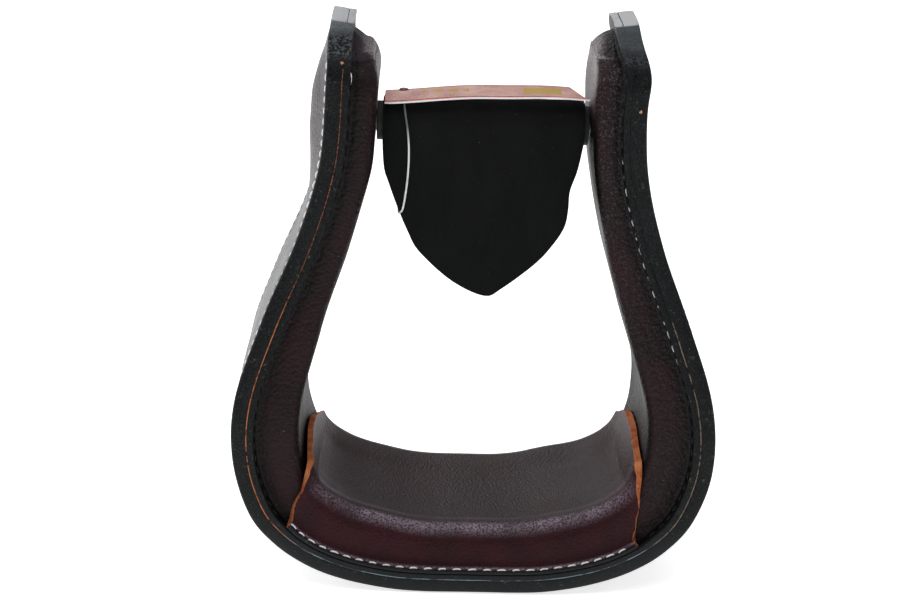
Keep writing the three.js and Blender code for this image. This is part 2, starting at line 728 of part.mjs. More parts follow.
// Swing tag: thin card, bowed along its length, one end cut on the slant
function makeCard() {
  const half = CARD_LENGTH / 2;
  const bow = (x, lift) => new THREE.Vector2(x, CARD_UNDERSIDE + lift + CARD_BOW * (1 - (x / half) ** 2));
  const under = [];
  for (let i = 0; i <= CARD_STEPS; i++) {
    under.push(bow(mix(-half, half, i / CARD_STEPS), 0));
  }
  const over = under.map((point) => bow(point.x, CARD_THICKNESS)).reverse();
  const band = new THREE.ExtrudeGeometry(new THREE.Shape([...under, ...over]), {
    depth: CARD_DEPTH + 2 * OVERRUN,
    bevelEnabled: false,
  });
  band.rotateX(Math.PI / 2).translate(0, CARD_DEPTH / 2 + OVERRUN, 0);
  const plan = new THREE.Shape([
    new THREE.Vector2(-half, -CARD_DEPTH / 2),
    new THREE.Vector2(half, -CARD_DEPTH / 2),
    new THREE.Vector2(half - CARD_SLANT, CARD_DEPTH / 2),
    new THREE.Vector2(-half, CARD_DEPTH / 2),
  ]);
  const hole = new THREE.Path();
  hole.absarc(CARD_HOLE_X - CARD_SHIFT_X, CARD_HOLE_Y - CARD_SHIFT_Y, CARD_HOLE_RADIUS, 0, 2 * Math.PI);
  plan.holes.push(hole);
  const height = CARD_UNDERSIDE + CARD_BOW + CARD_THICKNESS + OVERRUN;
  const cutter = new THREE.ExtrudeGeometry(plan, { depth: height, bevelEnabled: false });
  return toGeometry(toSolid(band).intersect(toSolid(cutter))).translate(CARD_SHIFT_X, CARD_SHIFT_Y, 0);
}

function cardTopAt(x) {
  const along = (x - CARD_SHIFT_X) / (CARD_LENGTH / 2);
  return CARD_UNDERSIDE + CARD_THICKNESS + CARD_BOW * (1 - along ** 2);
}

function makeLoop() {
  const route = new THREE.CatmullRomCurve3(LOOP_POINTS.map(([x, y, z]) => new THREE.Vector3(x, y, z)));
  const section = new THREE.Shape();
  for (let k = 0; k < LOOP_SIDES; k++) {
    const angle = 2 * Math.PI * k / LOOP_SIDES;
    const point = [LOOP_RADIUS * Math.cos(angle), LOOP_RADIUS * Math.sin(angle)];
    if (k === 0) section.moveTo(...point);
    else section.lineTo(...point);
  }
  return new THREE.ExtrudeGeometry(section, { steps: LOOP_STEPS, extrudePath: route, bevelEnabled: false });
}

// The loop's lock stands on the card over the hole and takes both ends of the loop
function makeLock() {
  const foot = cardTopAt(CARD_HOLE_X) + LAYER_GAP;
  const profile = [
    [0, foot], [LOCK_RADIUS, foot], [LOCK_RADIUS, foot + LOCK_HEIGHT - LOCK_ROUND],
    [LOCK_RADIUS - LOCK_ROUND, foot + LOCK_HEIGHT], [0, foot + LOCK_HEIGHT],
  ];
  const lathe = new THREE.LatheGeometry(profile.map(([r, z]) => new THREE.Vector2(r, z)), SMALL_SIDES);
  return lathe.rotateX(Math.PI / 2).translate(CARD_HOLE_X, CARD_HOLE_Y, 0);
}

const BURGUNDY = 0x331c20;
const EDGE_BLACK = 0x17191a;
const WOOD = 0xb08a5c;
const STEEL = 0x9a9c9e;

add(group, "outer_strap", makeOuterStrap(), EDGE_BLACK, 0.5);
add(group, "inner_cover", makeInnerCover(), BURGUNDY, 0.55);
add(group, "tread_cover", makeTreadCover(), 0x3a2227, 0.5);
const wood = makeWood();
add(group, "wood_bow", wood.bow, WOOD, 0.7);
add(group, "tread_block", wood.block, 0xc29c6b, 0.7);
screwPlaces().forEach(([x, y, z], i) => {
  const screw = add(group, `block_screw_${i + 1}`, screwProfile(0, 0), STEEL, 0.35, 1);
  screw.position.set(x, y, z);
});

const bar = new THREE.Group();
bar.position.set(0, 0, BAR_HEIGHT);
group.add(bar);
add(bar, "bolt", makeBolt(), STEEL, 0.35, 1);
add(bar, "nut", makeNut(), STEEL, 0.35, 1);
add(bar, "head_washer", makeWasher(-bolt.headSeat + LAYER_GAP), STEEL, 0.4, 1);
add(bar, "nut_washer", makeWasher(bolt.nutSeat - LAYER_GAP - WASHER_THICKNESS), STEEL, 0.4, 1);
add(bar, "roller", makeRoller(), 0x1c1e1f, 0.35);
add(bar, "bush_left", makeBush(-1), 0x222526, 0.4);
add(bar, "bush_right", makeBush(1), 0x222526, 0.4);
add(bar, "flap", makeFlap(), 0x141618, 0.9);
add(bar, "tag_card", makeCard(), 0x8d5a5c, 0.6);
add(bar, "tag_loop", makeLoop(), 0xd9dcdd, 0.2);
add(bar, "tag_lock", makeLock(), 0x35181a, 0.4);

export default group;
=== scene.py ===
"""Leather-covered western stirrup: fine leather skins, stitches, glue lines, flap, card and loop.

Shapes are worked out in millimetres, as in the frame, and scaled to metres as each mesh is made.
X runs across the stirrup, -Y is the front and Z is up, with the origin on the floor under the tread.
A pair of values is for the left and the right side. The materials measure in metres.
"""
import math
import random

import bmesh
import bpy
import numpy as np
from mathutils import Matrix, Vector


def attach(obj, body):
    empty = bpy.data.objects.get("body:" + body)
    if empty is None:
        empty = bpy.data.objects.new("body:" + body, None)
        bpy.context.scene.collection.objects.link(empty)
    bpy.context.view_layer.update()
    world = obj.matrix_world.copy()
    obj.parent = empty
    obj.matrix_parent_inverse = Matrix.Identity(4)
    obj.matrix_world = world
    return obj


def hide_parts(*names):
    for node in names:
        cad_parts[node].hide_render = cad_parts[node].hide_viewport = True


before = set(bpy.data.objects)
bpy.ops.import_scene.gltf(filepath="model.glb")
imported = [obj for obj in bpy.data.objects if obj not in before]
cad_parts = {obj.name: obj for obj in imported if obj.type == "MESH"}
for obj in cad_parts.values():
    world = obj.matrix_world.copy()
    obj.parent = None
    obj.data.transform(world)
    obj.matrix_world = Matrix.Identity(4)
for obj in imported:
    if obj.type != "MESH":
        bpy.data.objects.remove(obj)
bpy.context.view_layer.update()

MM = 0.001

# Outline of the strap, seen from the front
BAR_HEIGHT = 178.5
TAB_TOP = 220.0
BELLY_HALF_WIDTH = 90.5
BELLY_HEIGHT = 55.0
NECK_GAP = 77.0
NECK_HEIGHT = 203.0
FOOT_FLAT_HALF = 15.0
TAB_LEAN = 1.8
TAB_LEAN_START = 210.0
LOWER_SHARES = [(0.34, 0.018), (0.53, 0.083), (0.69, 0.192), (0.83, 0.36), (0.935, 0.6), (1, 1)]
UPPER_SHARES = [(0.035, 0.17), (0.315, 0.37), (0.68, 0.575), (0.93, 0.775), (1, 1)]

# Depths from front to back, and covered thicknesses
TREAD_DEPTH = 76.0
NECK_DEPTH = 56.0
TAB_DEPTH = 19.0
TAB_ARCH_RISE = 21.0
TAB_ARCH_POWER = 1.5
DEPTH_FALL = (60.0, 150.0)
TREAD_THICKNESS = 23.2
BELLY_THICKNESS = 25.0
NECK_THICKNESS = 18.0
TREAD_SWELL = (8.0, 45.0)
ARM_SLIM = (75.0, 185.0)

# Leathers and their moulding over the wood
OUTER_LEATHER = 5.6
INNER_LEATHER = 2.6
TREAD_LEATHER = 2.2
LAYER_GAP = 0.3
FLANGE = 5.2
LIP_ROUND = 0.5
STRAP_CORNER = 1.2
STRAP_COLUMNS = [STRAP_CORNER, 2.2, 3.2, 3.7, 4.1, 4.5, 4.9, 5.4, 6.4]
EDGE_SWELL = 0.18
WALL_SWELL = 0.25
FILLET = 1.5
BULGE_CORNER = 5.0
COVER_ARCH = (196.0, 24.0)
CROWN_INSIDE = (6.8, 4.6)
CROWN_OUTSIDE = (5.8, 2.3)
CROWN_RISE = (143.0, 180.0)
CROWN_FADE = (188.0, 218.0)
CROWN_ACROSS = (0.25, 0.86)
SHOULDER_TOP = 216.0
SHOULDER_SIDE = (24.0, 17.0)
SHOULDER_FRONT = (21.0, 14.0)
SHOULDER_POWER = (0.6, 0.36)

# Unevenness of the hand-made piece; lumps are rows of size, height and width
TAB_ZONE = (203, 216)
TAB_SHIFT = (1.0, -1.0)
TAB_DROP = (1.5, 0.0)
SIDE_LUMPS = [[(-0.4, 120, 35)], [(0.8, 35, 35), (-0.6, 120, 30), (1.3, 204, 8)]]
SIDE_LUMP_FADE = (5, 40)
INSIDE_LUMPS = [
    [(0.6, 200, 12), (0.7, 171, 10), (-1.0, 120, 35)],
    [(0.6, 200, 12), (0.2, 171, 10), (-0.8, 82, 16)],
]

# Ripples of hand-moulded leather: height, size across and seed
STRAP_RIPPLE = (0.22, 30, 3)
COVER_RIPPLE = (0.35, 34, 11)
FLAP_RIPPLE = (0.35, 45, 41)

# Tread cover: how far it runs up the bow at the flanges and, front to back, across its top
TREAD_FLANGE_RISE = (21.0, 15.0)
LIP_DEPTHS = (-30, -5, 8, 15, 22, 30)
LIP_RISES = ((44, 48, 46, 42.5, 38.5, 34), (46.5, 51, 51.5, 50, 45, 38))
LIP_LIFTS = ((1.5, 0.7, 0.4, 0.3, 0.3, 0.3), (0.4, 0.2, 0.2, 0.2, 0.2, 0.2))
LIP_BEVELS = ((0.5, 0.6, 0.6, 0.5, 0.3, 0.3), (2.4, 2.6, 1.8, 1.2, 0.6, 0.3))
LIP_SWEEP = (1.25, 1.7)
LIP_RAGGED = (0.35, 0.8)

# Forms of the tread: rolls, creases and swellings are a size, a place and a width
FRONT_ROLL = (1.0, 29.0, 4.2)
REAR_ROLL = (0.4, 29.0, 4.2)
FRONT_CREASE = (0.55, 22.6, 2.6)
ROLL_FADE = (28, 42)
REAR_SWELL = (1.3, 36, 20)
REAR_SWELL_DEPTHS = (18, 28)
COVER_PRESS = 0.5
TREAD_PRESS = 0.8
PRESS_FROM_EDGE = (0.8, 4.6)
PRESS_FADE = (10, 26)
WEAR_DEPTH = 1.4
COVER_WEAR_DEPTH = 1.0
WEAR_ACROSS = (14, 23)
WEAR_RUN = (0.24, 0.36)

# Stitches: pitch, length, radius of the thread and distance from the leather's edge
STITCH_PITCH = 4.0
GROOVE_INSET = 4.3
TREAD_STITCHES = (5.8, 3.7, 0.34, 1.3)
ARM_STITCHES = (5.6, 3.4, 0.2, 2.6)
GROOVE_STITCHES = (STITCH_PITCH, 3.6, 0.4, GROOVE_INSET)
LONE_STITCH = (4.3, 5.2, 0.3, 2.9)
LONE_STITCH_HEIGHT = 200.6
ARM_STITCH_TOP = 206.0
GROOVE_DEPTH = 0.7
GROOVE_WIDTH = 0.75
GROOVE_LEAST = 0.55
GROOVE_FADE = (200.0, 207.0)
THREAD_TURN = 0.08
THREAD_SIZES = (0.92, 1.06)

# Seam between the strap and the inner cover: where its beads end, and their sections,
# as inward distances with depths beyond the edge
SEAM_GLUE_END = 205.0
SEAM_BURNISH_END = 219.4
GLUE_BEAD = [(5.45, -1.4), (5.5, -0.4), (5.6, -0.18), (5.75, -0.1), (5.9, -0.18), (6.0, -0.4), (6.05, -1.4)]
TAB_BEAD = [(5.0, -1.4), (5.05, -0.2), (5.3, -0.02), (5.75, 0.03), (6.2, -0.02), (6.45, -0.2), (6.5, -1.4)]

NECK_HALF_WIDTH = NECK_GAP / 2 + NECK_THICKNESS
COVER_BASE = OUTER_LEATHER + LAYER_GAP
COVER_PLY = COVER_BASE + INNER_LEATHER
TREAD_FLOOR = COVER_PLY + LAYER_GAP
TREAD_PLY = TREAD_FLOOR + TREAD_LEATHER

# Bar parts
ROLLER_RADIUS = 7.2
ROLLER_EASE = (0.05, 3)
ROLLER_BORE = 5.7
BORE = 4.3
BAR_HALF = 38.77
BUSH_REACH = 0.25
BUSH_FLANGE = 2.4
BUSH_SPIGOT = 9.0

# Flap: the outline of a leaf is in shares of its half width and its drop
FLAP_HALF_WIDTH = 37.0
FLAP_DROP = 65.8
FLAP_LEATHER = 1.8
FLAP_RADIUS = 8.5
FLAP_DRAW_IN = 1.4
FLAP_SHARES = [
    (-0.985, 0.1), (-0.965, 0.24), (-0.92, 0.32), (-0.83, 0.46), (-0.71, 0.62), (-0.59, 0.74),
    (-0.26, 0.91), (0.08, 1), (0.26, 0.95), (0.57, 0.8), (0.73, 0.69), (0.85, 0.57),
    (0.88, 0.46), (0.885, 0.35), (0.95, 0.22), (1, 0.04),
]

# Card: its seam is where the rays round its hole give way to straight rows
CARD_LENGTH = 74.4
CARD_DEPTH = 18.0
CARD_THICKNESS = 0.6
CARD_BOW = 0.9
CARD_SLANT = 6.0
CARD_PLACE = (0.95, -1.0)
CARD_HOLE = (-29.4, 2.4)
CARD_HOLE_RADIUS = 1.7
CARD_SEAM = 7.0
CARD_UNDERSIDE = 10.9
LOCK_SINK = 0.25
LOCK_PROFILE = [
    (0.0, 0.35), (0.55, 0.3), (0.8, -0.1), (0.85, -0.8), (1.25, -0.8), (1.3, -0.1), (1.75, 0.0),
    (1.85, 0.3), (1.7, 0.75), (1.3, 0.9), (0.95, 0.75), (0.8, 0.5), (0.55, 0.85), (0.0, 0.95),
]

# Loop: its thickness in metres, and its route about the bar's axis
LOOP_DIAMETER = 0.00075
LOOP_POINTS = [
    (-29.4, 2.4, 10.7), (-29.4, 2.1, 10.2), (-29.4, 1.0, 9.9), (-29.4, -0.4, 9.8), (-29.3, -2.2, 9.6),
    (-29.2, -4.6, 9.0), (-29.0, -7.3, 7.2), (-28.5, -9.3, 4.3), (-27.9, -10.2, 1.0), (-27.3, -10.4, -4.0),
    (-27.0, -10.5, -10.0), (-27.2, -10.5, -18.0), (-28.0, -10.4, -26.0), (-28.8, -10.0, -31.0),
    (-29.6, -9.4, -32.6), (-30.3, -7.5, -33.4), (-30.5, 0.0, -33.6), (-30.5, 5.6, -33.2), (-30.2, 8.2, -32.6),
    (-29.8, 9.8, -30.5), (-29.4, 10.4, -24.0), (-29.1, 10.5, -12.0), (-29.2, 10.5, -4.0), (-29.3, 10.3, 1.5),
    (-29.4, 9.4, 4.8), (-29.4, 7.9, 7.2), (-29.4, 6.3, 8.6), (-29.4, 4.8, 9.5), (-29.4, 3.6, 10.6),
]

# Spots in the materials: a place, with the radii where they start and stop fading
SCRAPES = [((-79.5, -37, 101.5), 0.8, 2.6), ((-82.5, -37, 96), 0.8, 2.8)]
NICKS = [((-51.1, -25.3, 205.8), 0.2, 0.8), ((54.4, -28, 192), 0.2, 0.8)]
BAR_SHADE = ((38.5, -15, 168), 12, 26)

# Heights of the materials' marks on the tabs, in metres; the edge of the lid, a painted highlight, rises with
# the tabs' lean
WRINKLED_HEIGHTS = (0.2065, 0.2085, 0.217, 0.2185)
WORN_AND_LIT_FROM = 0.2142
WORN_AND_LIT_LOWER_RIGHT = -0.003
LID_EDGE = (0.2103, 0.2106)
LID_LEAN = 0.134
LID_HIGHER_RIGHT = 0.00176
CREASE_HEIGHT = 0.2062
BARE_THREAD_HEIGHTS = (0.096, 0.101, 0.171, 0.176)


def mix(a, b, t):
    return a + (b - a) * t


def smooth(value, start, end):
    t = np.clip((value - start) / (end - start), 0, 1)
    return t * t * (3 - 2 * t)


def quarter_arch(value, start, rise, power=2.0):
    """A quarter ellipse, or a flatter or fuller one: 1 until start, then falling to 0 over the rise."""
    t = np.clip((value - start) / rise, 0, 1)
    return (1 - t ** power) ** (1 / power)


def quarter_turn(count):
    """1 minus the cosine and 1 minus the sine of angles over a quarter turn."""
    angles = np.linspace(0, math.pi / 2, count)
    return 1 - np.cos(angles), 1 - np.sin(angles)


def bell(value, width):
    return np.exp(-(value / width) ** 2)


def spline(points, steps):
    """Uniform Catmull-Rom curve through the points, its ends doubled."""
    padded = [np.array(p, float) for p in (points[0], *points, points[-1])]
    samples = []
    for i in range(len(points) - 1):
        p0, p1, p2, p3 = padded[i:i + 4]
        v0 = (p2 - p0) / 2
        v1 = (p3 - p1) / 2
        for t in np.linspace(0, 1, steps, endpoint=False):
            cubic = (2 * p1 - 2 * p2 + v0 + v1) * t ** 3
            square = (3 * p2 - 3 * p1 - 2 * v0 - v1) * t ** 2
            samples.append(cubic + square + v0 * t + p1)
    samples.append(padded[-1])
    return np.array(samples)


def lengths(points):
    steps = np.linalg.norm(np.diff(points, axis=0), axis=1)
    return np.concatenate([[0], np.cumsum(steps)])


def half_outline():
    lower = [(x * BELLY_HALF_WIDTH, z * BELLY_HEIGHT) for x, z in LOWER_SHARES]
    upper = [
        (mix(BELLY_HALF_WIDTH, NECK_HALF_WIDTH, x), mix(BELLY_HEIGHT, NECK_HEIGHT, z))
        for x, z in UPPER_SHARES
    ]
    tab = [(NECK_HALF_WIDTH - TAB_LEAN / 4, TAB_LEAN_START), (NECK_HALF_WIDTH - TAB_LEAN, TAB_TOP)]
    return spline([(0, 0), (FOOT_FLAT_HALF, 0), *lower, *upper, *tab], 60)


LINE = half_outline()
LINE_RUN = lengths(LINE)
HALF_LENGTH = LINE_RUN[-1]
LINE_SHARE = LINE_RUN / HALF_LENGTH
LINE_TANGENT = np.gradient(LINE, LINE_RUN, axis=0)
LINE_TANGENT /= np.linalg.norm(LINE_TANGENT, axis=1)[:, None]
RISING = np.maximum.accumulate(LINE[:, 1]) + LINE_SHARE * 1e-6


def share_at_height(height):
    return np.interp(height, RISING, LINE_SHARE)


class Stations:
    """Places on the whole outline: run -1 is the left tab's top, 0 the foot, 1 the right tab's top."""

    def __init__(self, runs):
        self.run = np.asarray(runs, float)
        side = self.pick((-1.0, 1.0))
        share = np.minimum(1, np.abs(self.run))
        self.across = np.interp(share, LINE_SHARE, LINE[:, 0])
        self.height = np.interp(share, LINE_SHARE, LINE[:, 1])
        tab = smooth(self.height, *TAB_ZONE)
        lump = self.lumps(SIDE_LUMPS) * smooth(self.across, *SIDE_LUMP_FADE)
        x = side * (self.across + self.pick(TAB_SHIFT) * tab + lump)
        z = np.maximum(0, self.height - self.pick(TAB_DROP) * tab)
        in_x = -side * np.interp(share, LINE_SHARE, LINE_TANGENT[:, 1])
        in_z = np.interp(share, LINE_SHARE, LINE_TANGENT[:, 0])
        self.foot = np.stack([x, 0 * x, z], axis=-1)
        self.inward = np.stack([in_x, 0 * x, in_z], axis=-1)
        self.along = self.run * HALF_LENGTH

    def pick(self, pair):
        """The first of a pair on the left, and the second on the right."""
        return np.where(self.run < 0, *pair)

    def lumps(self, pair):
        """Smooth swellings along the height."""
        return self.pick([sum(a * bell(self.height - z, w) for a, z, w in rows) for rows in pair])

    def place(self, inward, depth):
        """Points, one row for each station, from inward distances and depths in columns."""
        inward, depth = np.broadcast_arrays(inward, depth)
        points = self.foot[:, None] + self.inward[:, None] * inward[..., None]
        points[..., 1] = depth
        return points


def half_depth(st):
    full = mix(TREAD_DEPTH, NECK_DEPTH, smooth(st.height, *DEPTH_FALL)) / 2
    arch = quarter_arch(st.height, TAB_TOP - TAB_ARCH_RISE, TAB_ARCH_RISE, TAB_ARCH_POWER)
    return mix(TAB_DEPTH / 2, full, arch)


def covered_thickness(st):
    low = mix(TREAD_THICKNESS, BELLY_THICKNESS, smooth(st.across, *TREAD_SWELL))
    return mix(low, NECK_THICKNESS, smooth(st.height, *ARM_SLIM)) + st.lumps(INSIDE_LUMPS)


def crown_at(st, depth, crowns=CROWN_INSIDE):
    """How far the bolt's head or nut pushes the outer strap out."""
    rise = smooth(st.height, *CROWN_RISE) * (1 - smooth(st.height, *CROWN_FADE))
    across = 1 - smooth(np.abs(depth) / half_depth(st)[:, None], *CROWN_ACROSS)
    return (st.pick(crowns) * rise)[:, None] * across


def bulge_half(st):
    rise = st.pick(SHOULDER_SIDE)
    return (half_depth(st) - FLANGE) * quarter_arch(st.height, SHOULDER_TOP - rise, rise)


def bulge_face(st):
    rise = st.pick(SHOULDER_FRONT)
    front = quarter_arch(st.height, SHOULDER_TOP - rise, rise) ** (2 * st.pick(SHOULDER_POWER))
    return COVER_BASE + (covered_thickness(st) - COVER_BASE) * front


def ripple(points, height, size, seed):
    """Slow unevenness, up and down by the height at most, the same on every run."""
    source = random.Random(seed)
    total = np.zeros(points.shape[:-1])
    waves = 6
    for _ in range(waves):
        direction = np.array([source.uniform(-1, 1) for _ in range(3)])
        direction /= np.linalg.norm(direction)
        turns = 2 * math.pi / (size * source.uniform(0.6, 1.6))
        total += np.sin(points @ direction * turns + source.uniform(0, 2 * math.pi))
    return height * total / waves


def bow_runs(step, arch_start, arch_rise, arch_steps):
    """Runs over the whole bow at a step in millimetres, closer together where the ends round off."""
    straight = share_at_height(arch_start)
    lower = np.linspace(0, straight, int(straight * HALF_LENGTH / step) + 1)
    angles = np.linspace(0, math.pi / 2, arch_steps + 1)[1:]
    right = np.append(lower, share_at_height(arch_start + arch_rise * np.sin(angles)))
    return np.concatenate([-right[:0:-1], right])


def grid_faces(numbers, wrap=(False, True)):
    """Quads between the neighbours in a grid of point numbers, whose rows or columns may close."""
    n = np.pad(numbers, [(0, int(closed)) for closed in wrap], mode="wrap")
    return np.stack([n[:-1, :-1], n[:-1, 1:], n[1:, 1:], n[1:, :-1]], axis=-1).reshape(-1, 4).tolist()


def add_piece(name, data):
    piece = bpy.data.objects.new(name, data)
    bpy.context.collection.objects.link(piece)
    return piece


def make_object(name, points, faces, slots=None, attributes=None, smooth_faces=None):
    mesh = bpy.data.meshes.new(name)
    mesh.from_pydata((np.asarray(points) * MM).tolist(), [], faces)
    for key, values in (attributes or {}).items():
        layer = mesh.attributes.new(name=key, type="FLOAT", domain="POINT")
        layer.data.foreach_set("value", np.asarray(values, np.float32).ravel())
    if slots is not None:
        mesh.polygons.foreach_set("material_index", np.asarray(slots, np.int32))
    build = bmesh.new()
    build.from_mesh(mesh)
    bmesh.ops.recalc_face_normals(build, faces=build.faces)
    build.to_mesh(mesh)
    build.free()
    smooth_faces = len(faces) if smooth_faces is None else smooth_faces
    mesh.polygons.foreach_set("use_smooth", [k < smooth_faces for k in range(len(faces))])
    mesh.update()
    return add_piece(name, mesh)


def skin(name, rings, bands, cap_slot=0, hat=False, attributes=None):
    """Quads between equal closed rings of points, with a material slot for each step round a ring.

    The ring of a hat section goes out and comes back, and its ends are closed between the two.
    """
    count, size = rings.shape[:2]
    faces = grid_faces(np.arange(count * size).reshape(count, size))
    slots = np.tile(bands, count - 1).tolist()
    smooth_faces = len(faces)
    for start in (0, (count - 1) * size):
        back = start + size - 1
        cap = [list(range(start, start + size))]
        if hat:
            cap = [[start + k, start + k + 1, back - k - 1, back - k] for k in range(size // 2 - 1)]
        faces += cap
        slots += [cap_slot] * len(cap)
    return make_object(name, rings.reshape(-1, 3), faces, slots, attributes, smooth_faces)


def dress(piece, body, slot, materials, *nodes):
    """Gives a piece its materials and body, and hides the solids that it stands for; the slot is not used."""
    for material in materials:
        piece.data.materials.append(material)
    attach(piece, body)
    if nodes:
        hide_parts(*nodes)
    return piece


def rgb(code):
    """Linear colour from a hexadecimal sRGB code."""
    channels = [int(code[k:k + 2], 16) / 255 for k in (0, 2, 4)]
    linear = [c / 12.92 if c <= 0.04045 else ((c + 0.055) / 1.055) ** 2.4 for c in channels]
    return (*linear, 1.0)


class Value:
    """A number, colour or vector in a material, which signs and short calls combine with others."""

    def __init__(self, shade, socket):
        self.shade = shade
        self.socket = socket

    def __add__(self, other):
        return self.shade.math("ADD", self, other)

    def __sub__(self, other):
        return self.shade.math("SUBTRACT", self, other)

    def __rsub__(self, other):
        return self.shade.math("SUBTRACT", other, self)

    def __mul__(self, other):
        return self.shade.math("MULTIPLY", self, other)

    def __gt__(self, other):
        return self.shade.math("GREATER_THAN", self, other)

    def __lt__(self, other):
        return self.shade.math("LESS_THAN", self, other)

    def __abs__(self):
        return self.shade.math("ABSOLUTE", self)

    def most(self, other):
        return self.shade.math("MAXIMUM", self, other)

    def span(self, low, high, to_low=0.0, to_high=1.0):
        """Takes one range to another, and holds the value at its ends."""
        ends = {"From_Min": low, "From_Max": high, "To_Min": to_low, "To_Max": to_high}
        return self.shade.node("MapRange", "Result", Value=self, **ends)

    def window(self, low, low_full, high_full, high):
        """1 inside a range, fading to 0 at both its ends."""
        return self.span(low, low_full) * self.span(high, high_full)

    def blend(self, a, b):
        """Colour a where this value is 0 and b where it is 1."""
        return self.shade.node("Mix", "Result", data_type="RGBA", Factor=self, A=a, B=b)

    def tint(self, low, high):
        """Two colours that meet softly, as this noise is low or high."""
        return self.span(0.3, 0.7).blend(low, high)


class Shader:
    """A principled material and short calls for the nodes that feed it."""

    def __init__(self, name, **sockets):
        self.material = bpy.data.materials.new(name)
        self.material.use_nodes = True
        self.nodes = self.material.node_tree.nodes
        self.put(**sockets)
        self.coordinate = self.node("TexCoord", "Object")

    def link(self, source, socket):
        """Feeds a socket from a value, a colour's hexadecimal code or a number."""
        if isinstance(source, Value):
            self.material.node_tree.links.new(source.socket, socket)
        else:
            socket.default_value = rgb(source) if isinstance(source, str) else source

    def node(self, kind, output, *values, **named):
        """One output of a new node; named inputs have capitals, and its settings have none."""
        node = self.nodes.new("ShaderNode" + kind)
        for key, value in named.items():
            if key[0].isupper():
                self.link(value, node.inputs[key.replace("_", " ")])
            else:
                setattr(node, key, value)
        for socket, value in zip(node.inputs, values):
            self.link(value, socket)
        return Value(self, node.outputs[output])

    def math(self, operation, *values):
        return self.node("Math", 0, *values, operation=operation)

    def noise(self, scale, detail=3.0, roughness=0.55, stretch=None):
        place = self.coordinate
        if stretch is not None:
            place = self.node("Mapping", "Vector", Vector=place, Scale=stretch)
        return self.node("TexNoise", "Fac", Vector=place, Scale=scale, Detail=detail, Roughness=roughness)

    def cells(self, scale):
        return self.node("TexVoronoi", "Distance", feature="SMOOTH_F1", Vector=self.coordinate, Scale=scale)

    def axis(self, which, vector=None):
        return self.node("SeparateXYZ", which, vector or self.coordinate)

    def normal(self, which):
        return self.axis(which, self.node("NewGeometry", "Normal"))

    def attribute(self, name):
        return self.node("Attribute", "Fac", attribute_name=name)

    def near(self, *spots):
        """1 within the inner radius of any spot and 0 beyond the outer ones."""
        most = None
        for place, inner, outer in spots:
            place = [value * MM for value in place]
            away = self.node("VectorMath", "Value", self.coordinate, place, operation="DISTANCE")
            found = away.span(outer * MM, inner * MM)
            most = found if most is None else most.most(found)
        return most

    def grain(self, pebble_scale, pore_scale, cloud, cloud_share):
        """Tops of a leather's pebbles, its pores, and a mottle of slow clouds and pores."""
        tops = self.cells(pebble_scale).span(0.15, 0.75, 1.0, 0.0)
        pores = self.noise(pore_scale, 4, 0.6)
        return tops, pores, cloud * cloud_share + pores * (1 - cloud_share)

    def dust(self, colour, code, scale, roughness, low, high, share):
        """Puts fine specks over a colour."""
        return self.noise(scale, 2, roughness).span(low, high, 0.0, share).blend(colour, code)

    def put(self, **sockets):
        for key, value in sockets.items():
            self.link(value, self.nodes["Principled BSDF"].inputs[key.replace("_", " ")])

    def finish(self, colour, roughness, relief=None, depth=0.0):
        """The finished material, with a relief of so many millimetres."""
        self.put(Base_Color=colour, Roughness=roughness)
        if relief is not None:
            self.put(Normal=self.node("Bump", "Normal", Distance=depth * MM, Height=relief))
        return self.material


def outer_face_leather():
    """Waxed grain leather: pebbles, fine pores, faint colour clouds, rubbed high spots and dust."""
    shade = Shader("outer_face_leather", Specular_IOR_Level=0.5)
    tops, pores, mottle = shade.grain(1250, 2600, shade.noise(70, 4, 0.6), 0.5)
    colour = mottle.span(0.38, 0.62).blend("1b1314", "2b2022")
    rubbed = tops * shade.noise(420).span(0.52, 0.75, 0.0, 0.5)
    colour = rubbed.blend(colour, "6d6266")
    colour = shade.dust(colour, "a9a3a2", 1300, 0.75, 0.7, 0.76, 0.35)
    return shade.finish(colour, mottle.span(0.35, 0.7, 0.3, 0.48), tops + pores * 0.6, 0.24)


